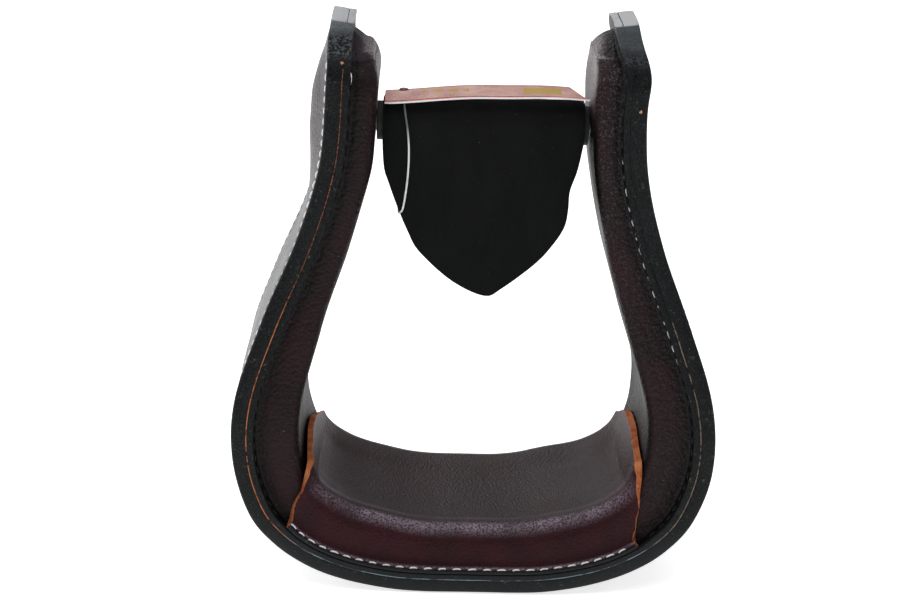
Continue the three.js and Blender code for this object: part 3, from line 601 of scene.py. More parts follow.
def burnished_edge():
    """Black edge dressing over cut leather, scuffed and nicked: worn grey and wrinkled on the tabs, partly
    painted light, with a painted highlight on their tops and painted light low down.
    """
    shade = Shader("burnished_edge", Specular_IOR_Level=0.14)
    streak = shade.noise(900, 4, 0.65)
    fine = shade.noise(1700, 3, 0.7)
    x = shade.axis("X")
    z = shade.axis("Z")
    right = x > 0
    colour = fine.span(0.46, 0.66).blend("020303", "1c2022")
    # Paler towards the bottom edge: painted light from below.
    colour = z.span(0.036, 0.02, 0.0, 0.55).blend(colour, "1f2122")
    scuffs = shade.noise(260, 4, 0.7).span(0.6, 0.68) * streak.span(0.5, 0.7) * 0.35
    scrapes = shade.near(*SCRAPES) * streak.span(0.47, 0.56)
    colour = scrapes.most(scuffs).blend(colour, "8d8a88")
    dots = shade.noise(1500, 2, 0.75).span(0.72, 0.77, 0.0, 0.5)
    nicks = (shade.near(*NICKS) + fine.span(0.3, 0.7, -0.35, 0.35)).span(0.3, 0.6)
    colour = dots.most(nicks).blend(colour, "b8896a")
    ridges = abs(shade.noise(560, 3, 0.6) - 0.5).span(0.0, 0.07, 1.0, 0.0)
    wrinkles = z.window(*WRINKLED_HEIGHTS) * ridges
    # Worn grey and wrinkled on the tabs' fronts, and painted light where they turn up towards the top.
    worn_and_lit = (z - (right * WORN_AND_LIT_LOWER_RIGHT + WORN_AND_LIT_FROM)).span(-0.001, 0.002).most(wrinkles)
    worn_and_lit_colour = streak.tint("4b5053", "6c7073")
    colour = worn_and_lit.blend(colour, right.blend(worn_and_lit_colour, "3f4447"))
    # Painted highlight of the top light on the tabs' tops.
    lid_highlight = (z - (abs(x) * LID_LEAN + right * LID_HIGHER_RIGHT)).span(*LID_EDGE)
    colour = lid_highlight.blend(colour, "a9aaab")
    gloss = shade.noise(120).span(0.3, 0.7, 0.42, 0.6)
    return shade.finish(colour, gloss, streak + wrinkles * 2.0, 0.12)


def raw_leather():
    """Cut edge that was never dyed: tan, fibrous and a little dirty."""
    shade = Shader("raw_leather", Specular_IOR_Level=0.2)
    fibre = shade.noise(1500, 5, 0.7)
    colour = shade.noise(220).tint("9c4c28", "cf7e4e")
    colour = fibre.span(0.55, 0.75, 0.0, 0.6).blend(colour, "e2ab84")
    return shade.finish(colour, 0.9, fibre, 0.9)


def inner_leather():
    """Dark burgundy moulded leather with dust specks: near black on its flange with painted shade up the
    wall's foot, painted glints in its grain, painted reflections on the shoulders' rims, creased on the left
    with painted shade in the crease, and painted shade low down and by the bar.
    """
    shade = Shader("inner_leather")
    tops, pores, mottle = shade.grain(820, 2400, shade.noise(60, 3, 0.5), 0.4)
    crinkles = shade.cells(1300)
    rise = shade.attribute("rise")
    z = shade.axis("Z")
    right = shade.axis("X") > 0
    left = 1 - right
    wall = mottle.span(0.38, 0.62).blend("0f0707", "261013")
    # Near black on the flange and fading up the wall's foot, where the dark is painted shade in the valley.
    colour = rise.span(0.0, 6.0).blend("090808", wall)
    # Pale crescents on the grain's pebbles, stronger higher up on the right: painted glints.
    grain_glints = crinkles.window(0.3, 0.42, 0.48, 0.62) * shade.noise(1100, 3, 0.7).span(0.5, 0.62)
    colour = (grain_glints * (right * z.span(0.1, 0.2, 0.12, 0.4))).blend(colour, "6f666b")
    haze = z.span(0.2025, 0.206) * pores.span(0.35, 0.6, 0.1, 0.35)
    colour = (haze * left).blend(colour, "4b3f48")
    # Lighter grainy rims where the shoulders face up and inward, high up: painted reflection of the bright
    # surroundings.
    ahead = abs(shade.normal("Y"))
    facing = ahead.span(0.45, 0.25) * z.span(0.186, 0.2) * rise.span(3.0, 6.0)
    rim_sheen = facing * pores.span(0.44, 0.58, 0.15, 0.95)
    colour = rim_sheen.blend(colour, crinkles.span(0.3, 0.6).blend("a39b9f", "5a5256"))
    # A crease on the left shoulder: a groove in the bump, darkened with painted shade.
    line = z + shade.noise(120, 3, 0.6) * 0.004
    crease = abs(line - CREASE_HEIGHT).span(0.0008, 0.0002) * left
    colour = (crease * 0.8).blend(colour, "0a0607")
    colour = shade.dust(colour, "a9a3a2", 1300, 0.75, 0.72, 0.77, 0.45)
    shaded = shade.near(BAR_SHADE).most(z.span(0.115, 0.085, 0.0, 0.7)) * ahead.span(0.8, 0.5)
    shade.put(Specular_IOR_Level=shaded.span(0.0, 1.0, 0.14, 0.01))
    colour = shaded.blend(colour, "0c0a0a")
    relief = tops + pores * 0.6 - crease * 2.0
    return shade.finish(colour, mottle.span(0.35, 0.7, 0.38, 0.55), relief, 0.26)


def tread_leather():
    """Satin tread leather with a painted grainy highlight along its front roll, undyed right at its cut ends.
    """
    shade = Shader("tread_leather")
    tops, pores, mottle = shade.grain(1150, 2600, shade.noise(60, 3, 0.5), 0.4)
    clouds = mottle.span(0.38, 0.62)
    level = shade.normal("Z")
    upper = clouds.blend("231718", "352224")
    colour = level.span(0.55, 0.9).blend(clouds.blend("1a090b", "341016"), upper)
    shade.put(Specular_IOR_Level=level.span(0.3, 0.85, 0.1, 0.28))
    # Painted highlight: a grainy purple-grey sheen along the front roll.
    roll = abs(shade.normal("Y")).window(0.15, 0.42, 0.6, 0.9) * shade.axis("Y").span(-0.02, -0.025)
    roll = roll * shade.noise(55, 3, 0.6).span(0.35, 0.6, 0.45, 1.0)
    roll = roll * shade.axis("Z").span(0.05, 0.036)
    roll_sheen_colour = shade.noise(1400, 3, 0.7).span(0.4, 0.6).blend("2c1a22", "9a8a98")
    colour = (roll * 0.8).blend(colour, roll_sheen_colour)
    torn = shade.attribute("from_end") + shade.noise(900, 4, 0.7).span(0.0, 1.0, -0.8, 0.8)
    colour = torn.span(0.0, 0.4, 1.0, 0.0).blend(colour, "b06a42")
    colour = shade.dust(colour, "a08f86", 900, 0.75, 0.75, 0.79, 0.5)
    return shade.finish(colour, mottle.span(0.35, 0.7, 0.34, 0.46), tops + pores * 0.8, 0.2)


def suede(name, dark, light):
    """Matte napped leather with a little dust caught in it."""
    shade = Shader(name, Specular_IOR_Level=0.15, Sheen_Weight=0.05, Sheen_Roughness=0.5)
    colour = shade.noise(90, 4, 0.6, (1.0, 1.0, 0.35)).tint(dark, light)
    colour = shade.dust(colour, "9a9c9e", 2100, 0.8, 0.74, 0.8, 0.7)
    return shade.finish(colour, 0.92, shade.noise(3200, 3, 0.7), 0.14)


def thread_material():
    """Waxed thread, twisted, greyed by dye here and there."""
    shade = Shader("thread", Specular_IOR_Level=0.4)
    twist = shade.noise(2500, 3, 0.6, (1.0, 0.4, 1.0))
    colour = twist.tint("ddd8de", "f6f4f6")
    colour = shade.noise(45).span(0.52, 0.7, 0.0, 0.4).blend(colour, "8d7a80")
    return shade.finish(colour, 0.62, twist, 0.12)


def dyed_thread_material():
    """The same thread where the leather's dye has run over most of it."""
    shade = Shader("dyed_thread", Specular_IOR_Level=0.4)
    twist = shade.noise(2500, 3, 0.6)
    bare = shade.axis("Z").window(*BARE_THREAD_HEIGHTS) * (shade.axis("X") > 0)
    bare = bare * shade.noise(160).span(0.47, 0.53)
    colour = bare.blend(twist.tint("0b0909", "1a1516"), "dcd6da")
    return shade.finish(colour, 0.6, twist, 0.1)


def glue_material():
    """Bare leather and glue between two leathers: tan low on the left, dyed over or dusty elsewhere, with a
    painted blue-grey highlight along the bottom.
    """
    shade = Shader("glue_line", Specular_IOR_Level=0.35)
    slow = shade.noise(120, 3, 0.6)
    broken = shade.noise(420, 4, 0.65)
    grain = shade.noise(1300, 3, 0.7)
    fibre = grain.span(0.3, 0.7)
    z = shade.axis("Z")
    right = shade.axis("X") > 0
    upper = z.span(0.108, 0.122)
    tan = upper.blend(fibre.blend("93492a", "c98254"), grain.span(0.4, 0.62).blend("24140f", "a05f42"))
    tan = right.blend(tan, fibre.blend("5a4238", "94806f"))
    bare = slow * 0.5 + broken * 0.5 - right * upper.span(0.0, 1.0, 0.03, 0.2)
    colour = bare.span(0.41, 0.47).blend("0f1011", tan)
    # Blue-grey along the bottom: painted highlight on the bead.
    colour = z.span(0.03, 0.016).blend(colour, slow.span(0.42, 0.52).blend("39444a", "7f9198"))
    return shade.finish(colour, 0.75, grain, 0.15)


def steel_material():
    """Zinc plated steel, faintly brushed and dulled."""
    shade = Shader("plated_steel", Metallic=1.0)
    brushed = shade.noise(600, 4, 0.6, (0.1, 1.0, 1.0))
    colour = shade.noise(140).tint("8f9294", "b6b8ba")
    return shade.finish(colour, brushed.span(0.3, 0.7, 0.25, 0.45), brushed, 0.03)


def wood_material(name, dark, light):
    """Straight grained wood with pores along the grain."""
    shade = Shader(name, Specular_IOR_Level=0.3)
    grain = shade.noise(260, 5, 0.6, (0.15, 1.0, 0.15))
    pores = shade.noise(1500, 3, 0.6, (0.08, 1.0, 0.08)).span(0.58, 0.7, 0.0, 0.5)
    colour = pores.blend(grain.tint(dark, light), dark)
    return shade.finish(colour, 0.7, grain, 0.15)


def moulded_plastic(name, dark, light, rough):
    """Moulded plastic with faint flow marks and handling scuffs."""
    shade = Shader(name, Specular_IOR_Level=0.5)
    scuff = shade.noise(1300, 4, 0.6, (0.3, 1.0, 1.0))
    colour = shade.noise(180, 3, 0.5).tint(dark, light)
    return shade.finish(colour, scuff.span(0.3, 0.7, rough - 0.08, rough + 0.08), scuff, 0.03)


def clear_plastic():
    """Clear plastic, pale low on the flap, with painted grey shade where it crosses the dark fold."""
    shade = Shader("clear_plastic", Transmission_Weight=0.15, IOR=1.48, Specular_IOR_Level=0.6)
    haze = shade.noise(900, 2)
    colour = haze.tint("dfe2e4", "f4f6f7")
    # Grey above the fold's height: painted shade of the dark fold seen through the loop.
    colour = shade.axis("Z").span(0.172, 0.179).blend(colour, "6a6e70")
    return shade.finish(colour, haze.span(0.3, 0.7, 0.16, 0.28), haze, 0.02)


def lock_material():
    """Dark moulded ring round the red head of the loop's end."""
    shade = Shader("lock_moulding", Specular_IOR_Level=0.5)
    flow = shade.noise(900)
    clouds = flow.span(0.3, 0.7)
    head = shade.near(((*CARD_HOLE, BAR_HEIGHT + CARD_UNDERSIDE), 0.8, 1.0))
    colour = head.blend(clouds.blend("1c1314", "2c1f20"), clouds.blend("a32a26", "d04a42"))
    return shade.finish(colour, flow.span(0.3, 0.7, 0.25, 0.4), flow, 0.03)


def card_face_material():
    """Dusty burgundy card face with two ruled lines, a row of small lozenges and a plain block."""
    shade = Shader("card_face", Specular_IOR_Level=0.5)
    x = shade.axis("X")
    y = shade.axis("Y")
    fibre = shade.noise(1800, 3, 0.6)
    colour = shade.noise(120).tint("a8706a", "cda295")
    colour = shade.math("COMPARE", y, 0.0066, 0.00045).blend(colour, "9c6a58")
    tall = abs(y + 0.0005)
    lozenges = (shade.math("PINGPONG", x, 0.0028) + tall < 0.0026) * ((x > -0.0225) * (x < -0.0055))
    block = (tall < 0.0042) * ((x > 0.0145) * (x < 0.0285))
    printed = lozenges.most(block) * fibre.span(0.3, 0.55, 0.55, 0.95)
    colour = fibre.span(0.5, 0.7, 0.0, 0.6).blend(colour, "d8c4bc")
    colour = printed.blend(colour, "ac8f1e")
    dashes = shade.noise(500, 2).span(0.45, 0.5).blend("5a1216", "c40c18")
    colour = shade.math("COMPARE", y, -0.0086, 0.0005).blend(colour, dashes)
    return shade.finish(colour, 0.5, fibre, 0.03)


def card_edge_material():
    shade = Shader("card_edge", Specular_IOR_Level=0.3)
    fibre = shade.noise(1500, 4, 0.7)
    return shade.finish(fibre.span(0.35, 0.7).blend("d9d7d5", "f3f2f0"), 0.85, fibre, 0.06)


def make_outer_strap():
    """One strap from tab to tab, with rounded edges, a stitched groove and a crown over each bolt end."""
    st = Stations(bow_runs(1.0, TAB_TOP - TAB_ARCH_RISE, TAB_ARCH_RISE, 22))
    half = half_depth(st)[:, None]
    from_edge = np.array(STRAP_COLUMNS)
    middle = np.linspace(-1, 1, 15)[1:-1] * (half - from_edge[-1])
    depth = np.concatenate([from_edge - half, middle, half - from_edge[::-1]], axis=1)
    dents = 0.5 + 0.5 * np.cos(2 * math.pi * st.along / STITCH_PITCH)[:, None]
    groove = GROOVE_DEPTH * bell(half - np.abs(depth) - GROOVE_INSET, GROOVE_WIDTH)
    groove = groove * mix(GROOVE_LEAST, 1, dents) * (1 - smooth(st.height, *GROOVE_FADE))[:, None]
    outside = groove - crown_at(st, depth, CROWN_OUTSIDE)
    corner_cos, corner_sin = (turn[1:] for turn in quarter_turn(5))
    lip_cos, lip_sin = quarter_turn(4)
    shares = np.array([0.3, 0.5, 0.7])
    edge_in = [
        STRAP_CORNER * corner_cos, mix(STRAP_CORNER, OUTER_LEATHER - LIP_ROUND, shares),
        OUTER_LEATHER - LIP_ROUND * lip_sin,
    ]
    beyond = [-STRAP_CORNER * corner_sin, EDGE_SWELL * np.sin(math.pi * shares), -LIP_ROUND * lip_cos]
    edge_in = np.concatenate(edge_in) + 0 * half
    edge_depth = half + np.concatenate(beyond)
    inside_depth = np.linspace(1, -1, 9) * (half - 3.0)
    inside = OUTER_LEATHER - crown_at(st, inside_depth)
    inward = np.concatenate([outside, edge_in, inside, edge_in[:, ::-1]], axis=1)
    depth = np.concatenate([depth, edge_depth, inside_depth, -edge_depth[:, ::-1]], axis=1)
    rings = st.place(inward, depth)
    rings += ripple(rings, *STRAP_RIPPLE)[..., None] * st.inward[:, None]
    face = outside.shape[1] - 1
    bands = [0] * face + [1] * (inward.shape[1] - face)
    piece = skin("outer_strap_leather", rings, bands, cap_slot=1)
    dress(piece, "stirrup", "outer_leather", [outer_face_leather(), burnished_edge()], "outer_strap")


def flange_lip(half, base, ply):
    """Rounded cut edge of a flange, from its underside to its top."""
    low_cos, low_sin = quarter_turn(4)
    top_cos, top_sin = quarter_turn(5)
    inward = np.concatenate([[base], base + LIP_ROUND * low_cos, ply - LIP_ROUND * top_sin])
    return inward + 0 * half, LIP_ROUND * np.concatenate([[1], low_sin, top_cos]) - half


def hat_body(edge, wall, top, ply, corner, fillet):
    """Front half of a hat section, from the flange to the middle of its top."""
    flat = np.array([0.35, 0.7])
    up = np.array([0.2, 0.4, 0.6, 0.8])
    across = np.linspace(1, 0, 12)[1:]
    foot_cos, foot_sin = quarter_turn(6)
    brow_cos, brow_sin = quarter_turn(9)
    inward = [
        ply + 0 * wall * flat, ply + fillet * foot_cos, mix(ply + fillet, top - corner, up),
        top - corner * brow_sin, top + 0 * across,
    ]
    depth = [
        mix(edge, -wall - fillet, flat), -wall - fillet * foot_sin,
        -wall - WALL_SWELL * np.sin(math.pi * up), corner * brow_cos - wall, across * (corner - wall),
    ]
    return np.concatenate(inward, axis=1), np.concatenate(depth, axis=1)


def hat_section(st, top, wall, base, ply, thin, corner_radius, dishes=(None, None)):
    """Closed ring of a hat section: the outside from front to back, then the inside back again."""
    half = half_depth(st)[:, None]
    wall = np.maximum(wall, 0.3)[:, None]
    top = np.maximum(top, ply + 0.05)[:, None]
    corner = np.minimum(corner_radius, np.minimum(wall, top - ply) * 0.9)
    fillet = np.minimum(FILLET, np.minimum(np.maximum(half - wall, 0.1), top - ply) * 0.4)
    edge = LIP_ROUND - half
    inner_wall = np.maximum(wall - thin, 0.2)
    inner_top = np.maximum(top - thin, base + 0.04)
    room = np.minimum(inner_wall, inner_top - base)
    inner_corner = np.minimum(np.maximum(corner - thin, 0.1), room * 0.9)
    inner_fillet = np.minimum(fillet + 0.5, np.minimum(half - inner_wall, inner_top - base) * 0.4)
    under = 0.02 + 0.05 * np.arange(10)
    outer = (flange_lip(half, base, ply), hat_body(edge, wall, top, ply, corner, fillet))
    inner = (
        (base + 0 * (edge + under), edge + under),
        hat_body(edge + 0.5, inner_wall, inner_top, base, inner_corner, inner_fillet),
    )
    rings = []
    for parts, dish in ((outer, dishes[0]), (inner, dishes[1])):
        inward, depth = (np.concatenate(part, axis=1) for part in zip(*parts))
        inward = np.concatenate([inward, inward[:, -2::-1]], axis=1)
        depth = np.concatenate([depth, -depth[:, -2::-1]], axis=1)
        if dish is not None:
            inward += dish(st, depth) * np.clip((inward - ply) / (top - ply), 0, 1)
        rings.append((inward, depth))
    return tuple(np.concatenate([out, back[:, ::-1]], axis=1) for out, back in zip(*rings))


def moulding_lumps(points, inward):
    """Slow unevenness shared by all layers, so that they stay clear of one another."""
    near_bar = bell(points[..., 2] - BAR_HEIGHT, 12)
    return ripple(points, *COVER_RIPPLE) * np.clip((inward - COVER_PLY) / 8, 0, 1) * (1 - near_bar)


def sewn_press(st, depth):
    """How far the thread draws the flanges down along the tread: 1 at their cut edges."""
    from_edge = half_depth(st)[:, None] - np.abs(depth)
    return (1 - smooth(from_edge, *PRESS_FROM_EDGE)) * (1 - smooth(st.height, *PRESS_FADE))[:, None]


def worn_share(st, depth):
    """How far the tread is pressed in by use: 1 in the middle of the foot's place."""
    along = 1 - smooth(np.abs(st.run), *WEAR_RUN)
    return (1 - smooth(np.abs(depth), *WEAR_ACROSS)) * along[:, None]


def cover_dish(st, depth):
    return -COVER_WEAR_DEPTH * worn_share(st, depth)


def tread_dish(st, depth):
    """A soft roll along the front and the back of the tread, and a shallow dish between."""

    def bulge(place, row):
        size, middle, width = row
        return size * bell(place - middle, width)

    fade = 1 - 0.7 * smooth(st.height, *ROLL_FADE)[:, None]
    front = bulge(-depth, FRONT_ROLL) - bulge(-depth, FRONT_CREASE)
    roll = fade * np.where(depth < 0, front, bulge(depth, REAR_ROLL))
    rear = smooth(depth, *REAR_SWELL_DEPTHS) * bulge(st.foot[:, 0], REAR_SWELL)[:, None]
    return roll + rear - WEAR_DEPTH * worn_share(st, depth)


def hat_bands(columns, lip):
    """Slots of a hat section: the leather's face between its cut edges and underside."""
    return [1] * lip + [0] * (columns // 2 - 2 * lip - 1) + [1] * (columns - columns // 2 + lip + 1)


def make_inner_cover():
    """One leather moulded over the wood from tab to tab, with a sewn flange on both sides."""
    st = Stations(bow_runs(1.2, *COVER_ARCH, 40))
    inward, depth = hat_section(
        st, bulge_face(st), bulge_half(st), COVER_BASE, COVER_PLY, INNER_LEATHER, BULGE_CORNER,
        (cover_dish, None),
    )
    thick = np.clip((inward - COVER_BASE) / INNER_LEATHER, 0, 1)
    inward = inward - COVER_PRESS * sewn_press(st, depth) * thick
    rings = st.place(inward, depth)
    rings += moulding_lumps(rings, inward)[..., None] * st.inward[:, None]
    bands = hat_bands(inward.shape[1], 10)
    rise = {"rise": inward - COVER_PLY}
    piece = skin("inner_cover_leather", rings, bands, cap_slot=1, hat=True, attributes=rise)
    dress(piece, "stirrup", "inner_leather", [inner_leather(), burnished_edge()], "inner_cover")


def make_tread_cover():
    """Second leather over the tread; its raw ends run up the bow and stand off the left arm."""
    count = 300
    t = np.linspace(-1, 1, count)[:, None]
    t = np.sign(t) * (1 - (1 - np.abs(t)) ** 1.15)
    reach = np.abs(t)
    left = t < 0
    offset = LAYER_GAP + TREAD_LEATHER

    def section(st, dishes=(None, None)):
        return hat_section(
            st, covered_thickness(st) + offset, half_depth(st) - FLANGE + offset, TREAD_FLOOR, TREAD_PLY,
            TREAD_LEATHER, BULGE_CORNER + offset, dishes,
        )

    def along_lip(pair):
        return np.where(left, *(np.interp(across, LIP_DEPTHS, values) for values in pair))

    flange_end = np.where(left, *share_at_height(np.array(TREAD_FLANGE_RISE)))
    low, across = section(Stations((t * flange_end)[:, 0]))
    columns = low.shape[1]
    size = columns // 2
    climb = np.clip((low - TREAD_PLY) / (low.max(axis=1)[:, None] - TREAD_PLY), 0, 1)
    climb[:, size:] = climb[:, size - 1::-1]
    across[:, size:] = across[:, size - 1::-1]
    lip_end = share_at_height(along_lip(LIP_RISES))
    runs = t * mix(flange_end, lip_end, climb ** np.where(left, *LIP_SWEEP))
    source = random.Random(5)
    ragged = np.array([source.uniform(-1, 1) for _ in range(columns)])
    inside = np.arange(columns) >= size
    torn = ragged * np.where(left, *LIP_RAGGED) * np.where(inside, 0.5, 1.0)
    torn = torn + np.where(inside, along_lip(LIP_BEVELS) * climb, 0)
    runs = runs + np.sign(t) * smooth(reach, 0.93, 1) * torn / HALF_LENGTH
    lift = along_lip(LIP_LIFTS) * smooth(reach, 0.82, 1) * climb
    cells = Stations(runs.ravel())
    own_column = np.tile(np.arange(columns), count)[:, None]
    inward, depth = (
        np.take_along_axis(values, own_column, axis=1) for values in section(cells, (tread_dish, cover_dish))
    )
    thick = np.clip((inward - TREAD_FLOOR) / TREAD_LEATHER, 0, 1)
    inward = inward - (COVER_PRESS + TREAD_PRESS * thick) * sewn_press(cells, depth)
    points = cells.place(inward + lift.reshape(-1, 1), depth)
    points += moulding_lumps(points, inward)[..., None] * cells.inward[:, None]
    rings = points.reshape(count, columns, 3)
    from_end = {"from_end": (1 - reach) * np.ones(columns) * HALF_LENGTH * 0.3}
    bands = hat_bands(columns, 9)
    piece = skin("tread_cover_leather", rings, bands, cap_slot=2, hat=True, attributes=from_end)
    materials = [tread_leather(), burnished_edge(), raw_leather()]
    dress(piece, "stirrup", "tread_leather", materials, "tread_cover")


def stitch_mesh(name, centres, along, up, length, radius, slant):
    """Short threads whose ends dive into the leather, all in one mesh."""
    rings, sides = 9, 8
    angles = 2 * math.pi * np.arange(sides) / sides
    u = np.linspace(-1, 1, rings)
    heights = radius * (0.75 - 1.9 * np.abs(u) ** 3)
    thick = radius * np.sqrt(np.maximum(0.05, 1 - u ** 6))
    points = []
    faces = []
    source = random.Random(name)
    for k, (centre, forward, above) in enumerate(zip(centres, along, up)):
        across = np.cross(forward, above)
        turn = slant + source.uniform(-THREAD_TURN, THREAD_TURN)
        direction = forward * math.cos(turn) + across * math.sin(turn)
        across = np.cross(direction, above)
        size = length * source.uniform(*THREAD_SIZES)
        middle = centre + np.outer(u * size / 2, direction) + np.outer(heights, above)
        ring = np.outer(np.cos(angles), across) + np.outer(np.sin(angles), above)
        points.append(middle[:, None] + thick[:, None, None] * ring)
        numbers = k * rings * sides + np.arange(rings * sides).reshape(rings, sides)
        faces += grid_faces(numbers) + [numbers[0].tolist(), numbers[-1].tolist()]
    return make_object(name, np.reshape(points, (-1, 3)), faces)


def sew(name, material, first, last, sign, stitch, inward_at, outside=False, slant=0.0):
    """A row of stitches along the bow, from one run to another in millimetres along the outline."""
    pitch, length, radius, inset = stitch

    def places(runs):
        st = Stations(runs)
        depth = sign * (half_depth(st)[:, None] - inset)
        return st.place(inward_at(st, depth), depth)[:, 0]

    count = int(abs(last - first) / pitch)
    runs = (first + (np.arange(count) + 0.5) * pitch * np.sign(last - first)) / HALF_LENGTH
    step = 0.5 / HALF_LENGTH
    forward = places(runs + step) - places(runs - step)
    forward /= np.linalg.norm(forward, axis=1)[:, None]
    up = Stations(runs).inward * (-1 if outside else 1)
    piece = stitch_mesh(name, places(runs), forward, up, length, radius, slant)
    dress(piece, "stirrup", "outer_leather", [material])


def on_tread(st, depth):
    return TREAD_PLY - (COVER_PRESS + TREAD_PRESS) * sewn_press(st, depth)


def on_cover(st, depth):
    return COVER_PLY


def in_groove(st, depth):
    """Sunk in the outer groove, and nearly flush high on the left."""
    sunk = 0.85 - 0.6 * st.pick((smooth(st.height, 140, 160), 0))
    return GROOVE_DEPTH * sunk[:, None] - crown_at(st, depth, CROWN_OUTSIDE)


def make_stitches():
    """Stitches on the tread's flanges, in the creases of the arms and in the outer face's grooves."""
    heights = np.array([*TREAD_FLANGE_RISE, ARM_STITCH_TOP, LONE_STITCH_HEIGHT])
    left, right, top, lone = share_at_height(heights) * HALF_LENGTH
    thread = thread_material()
    dyed = dyed_thread_material()
    for word, sign in (("front", -1), ("rear", 1)):
        sew(
            f"tread_stitches_{word}", thread, -left - 1, right + 1, sign, TREAD_STITCHES, on_tread,
            slant=0.07 * sign,
        )
        sew(f"arm_stitches_left_{word}", dyed, -left - 6, -top, sign, ARM_STITCHES, on_cover)
        sew(f"arm_stitches_right_{word}", dyed, right + 6, top, sign, ARM_STITCHES, on_cover)
        sew(f"groove_stitches_{word}", thread, -top, top, sign, GROOVE_STITCHES, in_groove, outside=True)
    sew("undyed_stitch", thread, 2.2 - lone, -2.2 - lone, -1, LONE_STITCH, on_cover)


def seam_bead(name, material, runs, sign, section, unevenness):
    """A bead along the seam between the strap and the inner cover."""
    st = Stations(runs)
    inward, beyond = np.array(section).T
    rings = st.place(inward, sign * (half_depth(st)[:, None] + beyond))
    rings += ripple(rings, unevenness, 7, 31)[..., None]
    piece = skin(name, rings, [0] * len(section))
    dress(piece, "stirrup", "outer_leather", [material])


def make_seams():
    """Glue line between the strap and the inner cover; the tabs' front faces are burnished into one."""
    glue = glue_material()
    edge = burnished_edge()
    runs = bow_runs(1.5, TAB_TOP - TAB_ARCH_RISE, TAB_ARCH_RISE, 24)
    ends = share_at_height(np.array([SEAM_GLUE_END, SEAM_BURNISH_END]))
    for word, sign in (("front", -1), ("rear", 1)):
        seam_bead(f"glue_line_{word}", glue, runs[np.abs(runs) < ends[0]], sign, GLUE_BEAD, 0.1)
        for side, way in (("left", -1), ("right", 1)):
            tab_runs = way * np.linspace(*ends, 30)
            seam_bead(f"tab_seam_{side}_{word}", edge, tab_runs, sign, TAB_BEAD, 0.02)


def sheet_object(name, grid, thickness):
    """A sheet from a grid of middle points, with a rounded border in the second slot."""
    rows, columns = grid.shape[:2]
    normal = np.cross(np.gradient(grid, axis=0), np.gradient(grid, axis=1))
    normal *= thickness / 2 / np.maximum(np.linalg.norm(normal, axis=2), 1e-9)[..., None]
    numbers = np.arange(rows * columns).reshape(rows, columns)
    border = np.concatenate([numbers[0], numbers[1:, -1], numbers[-1, -2::-1], numbers[-2:0:-1, 0]])
    i, j = np.divmod(border, columns)
    away = grid[i, j] - grid[np.clip(i, 1, rows - 2), np.clip(j, 1, columns - 2)]
    away *= 0.22 * thickness / np.maximum(np.linalg.norm(away, axis=1), 1e-6)[:, None]
    middle = grid[i, j] + away
    points = np.concatenate([(grid + normal).reshape(-1, 3), (grid - normal).reshape(-1, 3), middle])
    block = rows * columns
    top = grid_faces(numbers, wrap=(False, False))
    bottom = [[a + block, d + block, c + block, b + block] for a, b, c, d in top]
    sides = grid_faces(np.array([border, 2 * block + np.arange(len(border)), border + block]))
    return make_object(name, points, top + bottom + sides, [0] * (2 * len(top)) + [1] * len(sides))


def flap_widths(drops):
    """Left and right edge of the flap at drops below the bar."""
    outline = spline(FLAP_SHARES, 20)
    tip = int(np.argmax(outline[:, 1]))
    edges = []
    for branch in (outline[:tip + 1], outline[tip:][::-1]):
        falling = np.maximum.accumulate(branch[:, 1]) + np.arange(len(branch)) * 1e-9
        edges.append(FLAP_HALF_WIDTH * np.interp(drops / FLAP_DROP, falling, branch[:, 0]))
    return edges


def make_flap():
    """Stiff leather folded over the roller, both leaves cut to a hand-cut shield."""
    drops = FLAP_DROP * (1 - (1 - np.linspace(0, 1, 41)[1:]) ** 1.25)
    leaf = np.column_stack([FLAP_RADIUS - FLAP_DRAW_IN * (drops / FLAP_DROP) ** 2, -drops])
    angles = np.linspace(math.pi, 0, 23)
    fold = FLAP_RADIUS * np.column_stack([np.cos(angles), np.sin(angles)])
    path = np.concatenate([leaf[::-1] * (-1, 1), fold, leaf])
    low, high = flap_widths(np.maximum(0.0, -path[:, 1]))
    high = np.maximum(high, low + 0.4)
    across = np.linspace(low, high, 44, axis=1)
    grid = np.stack(np.broadcast_arrays(across, path[:, :1], path[:, 1:] + BAR_HEIGHT), axis=-1)
    hang = np.clip((BAR_HEIGHT - grid[..., 2]) / FLAP_DROP, 0, 1)
    grid[..., 1] += ripple(grid, *FLAP_RIPPLE) * hang
    piece = sheet_object("flap_leather", grid, FLAP_LEATHER)
    edge = suede("flap_edge", "101213", "1b1d1f")
    dress(piece, "flap", "flap_leather", [suede("flap_suede", "040505", "0b0c0d"), edge], "flap")


def card_underside_at(x, y):
    """Height of the card's underside above the bar's axis: bowed, with a lump, and drooping at its ends."""
    low = CARD_UNDERSIDE + CARD_BOW * (1 - ((x - 6) / 43) ** 2) + 0.55 * bell(x - 23, 13)
    low = low + 0.5 * smooth(-y, 3.0, 9.0) * smooth(x, 5, 38)
    return low - smooth(-x, 0, 38) * (0.7 + 1.4 * smooth(np.abs(y), 2.0, 8.0))


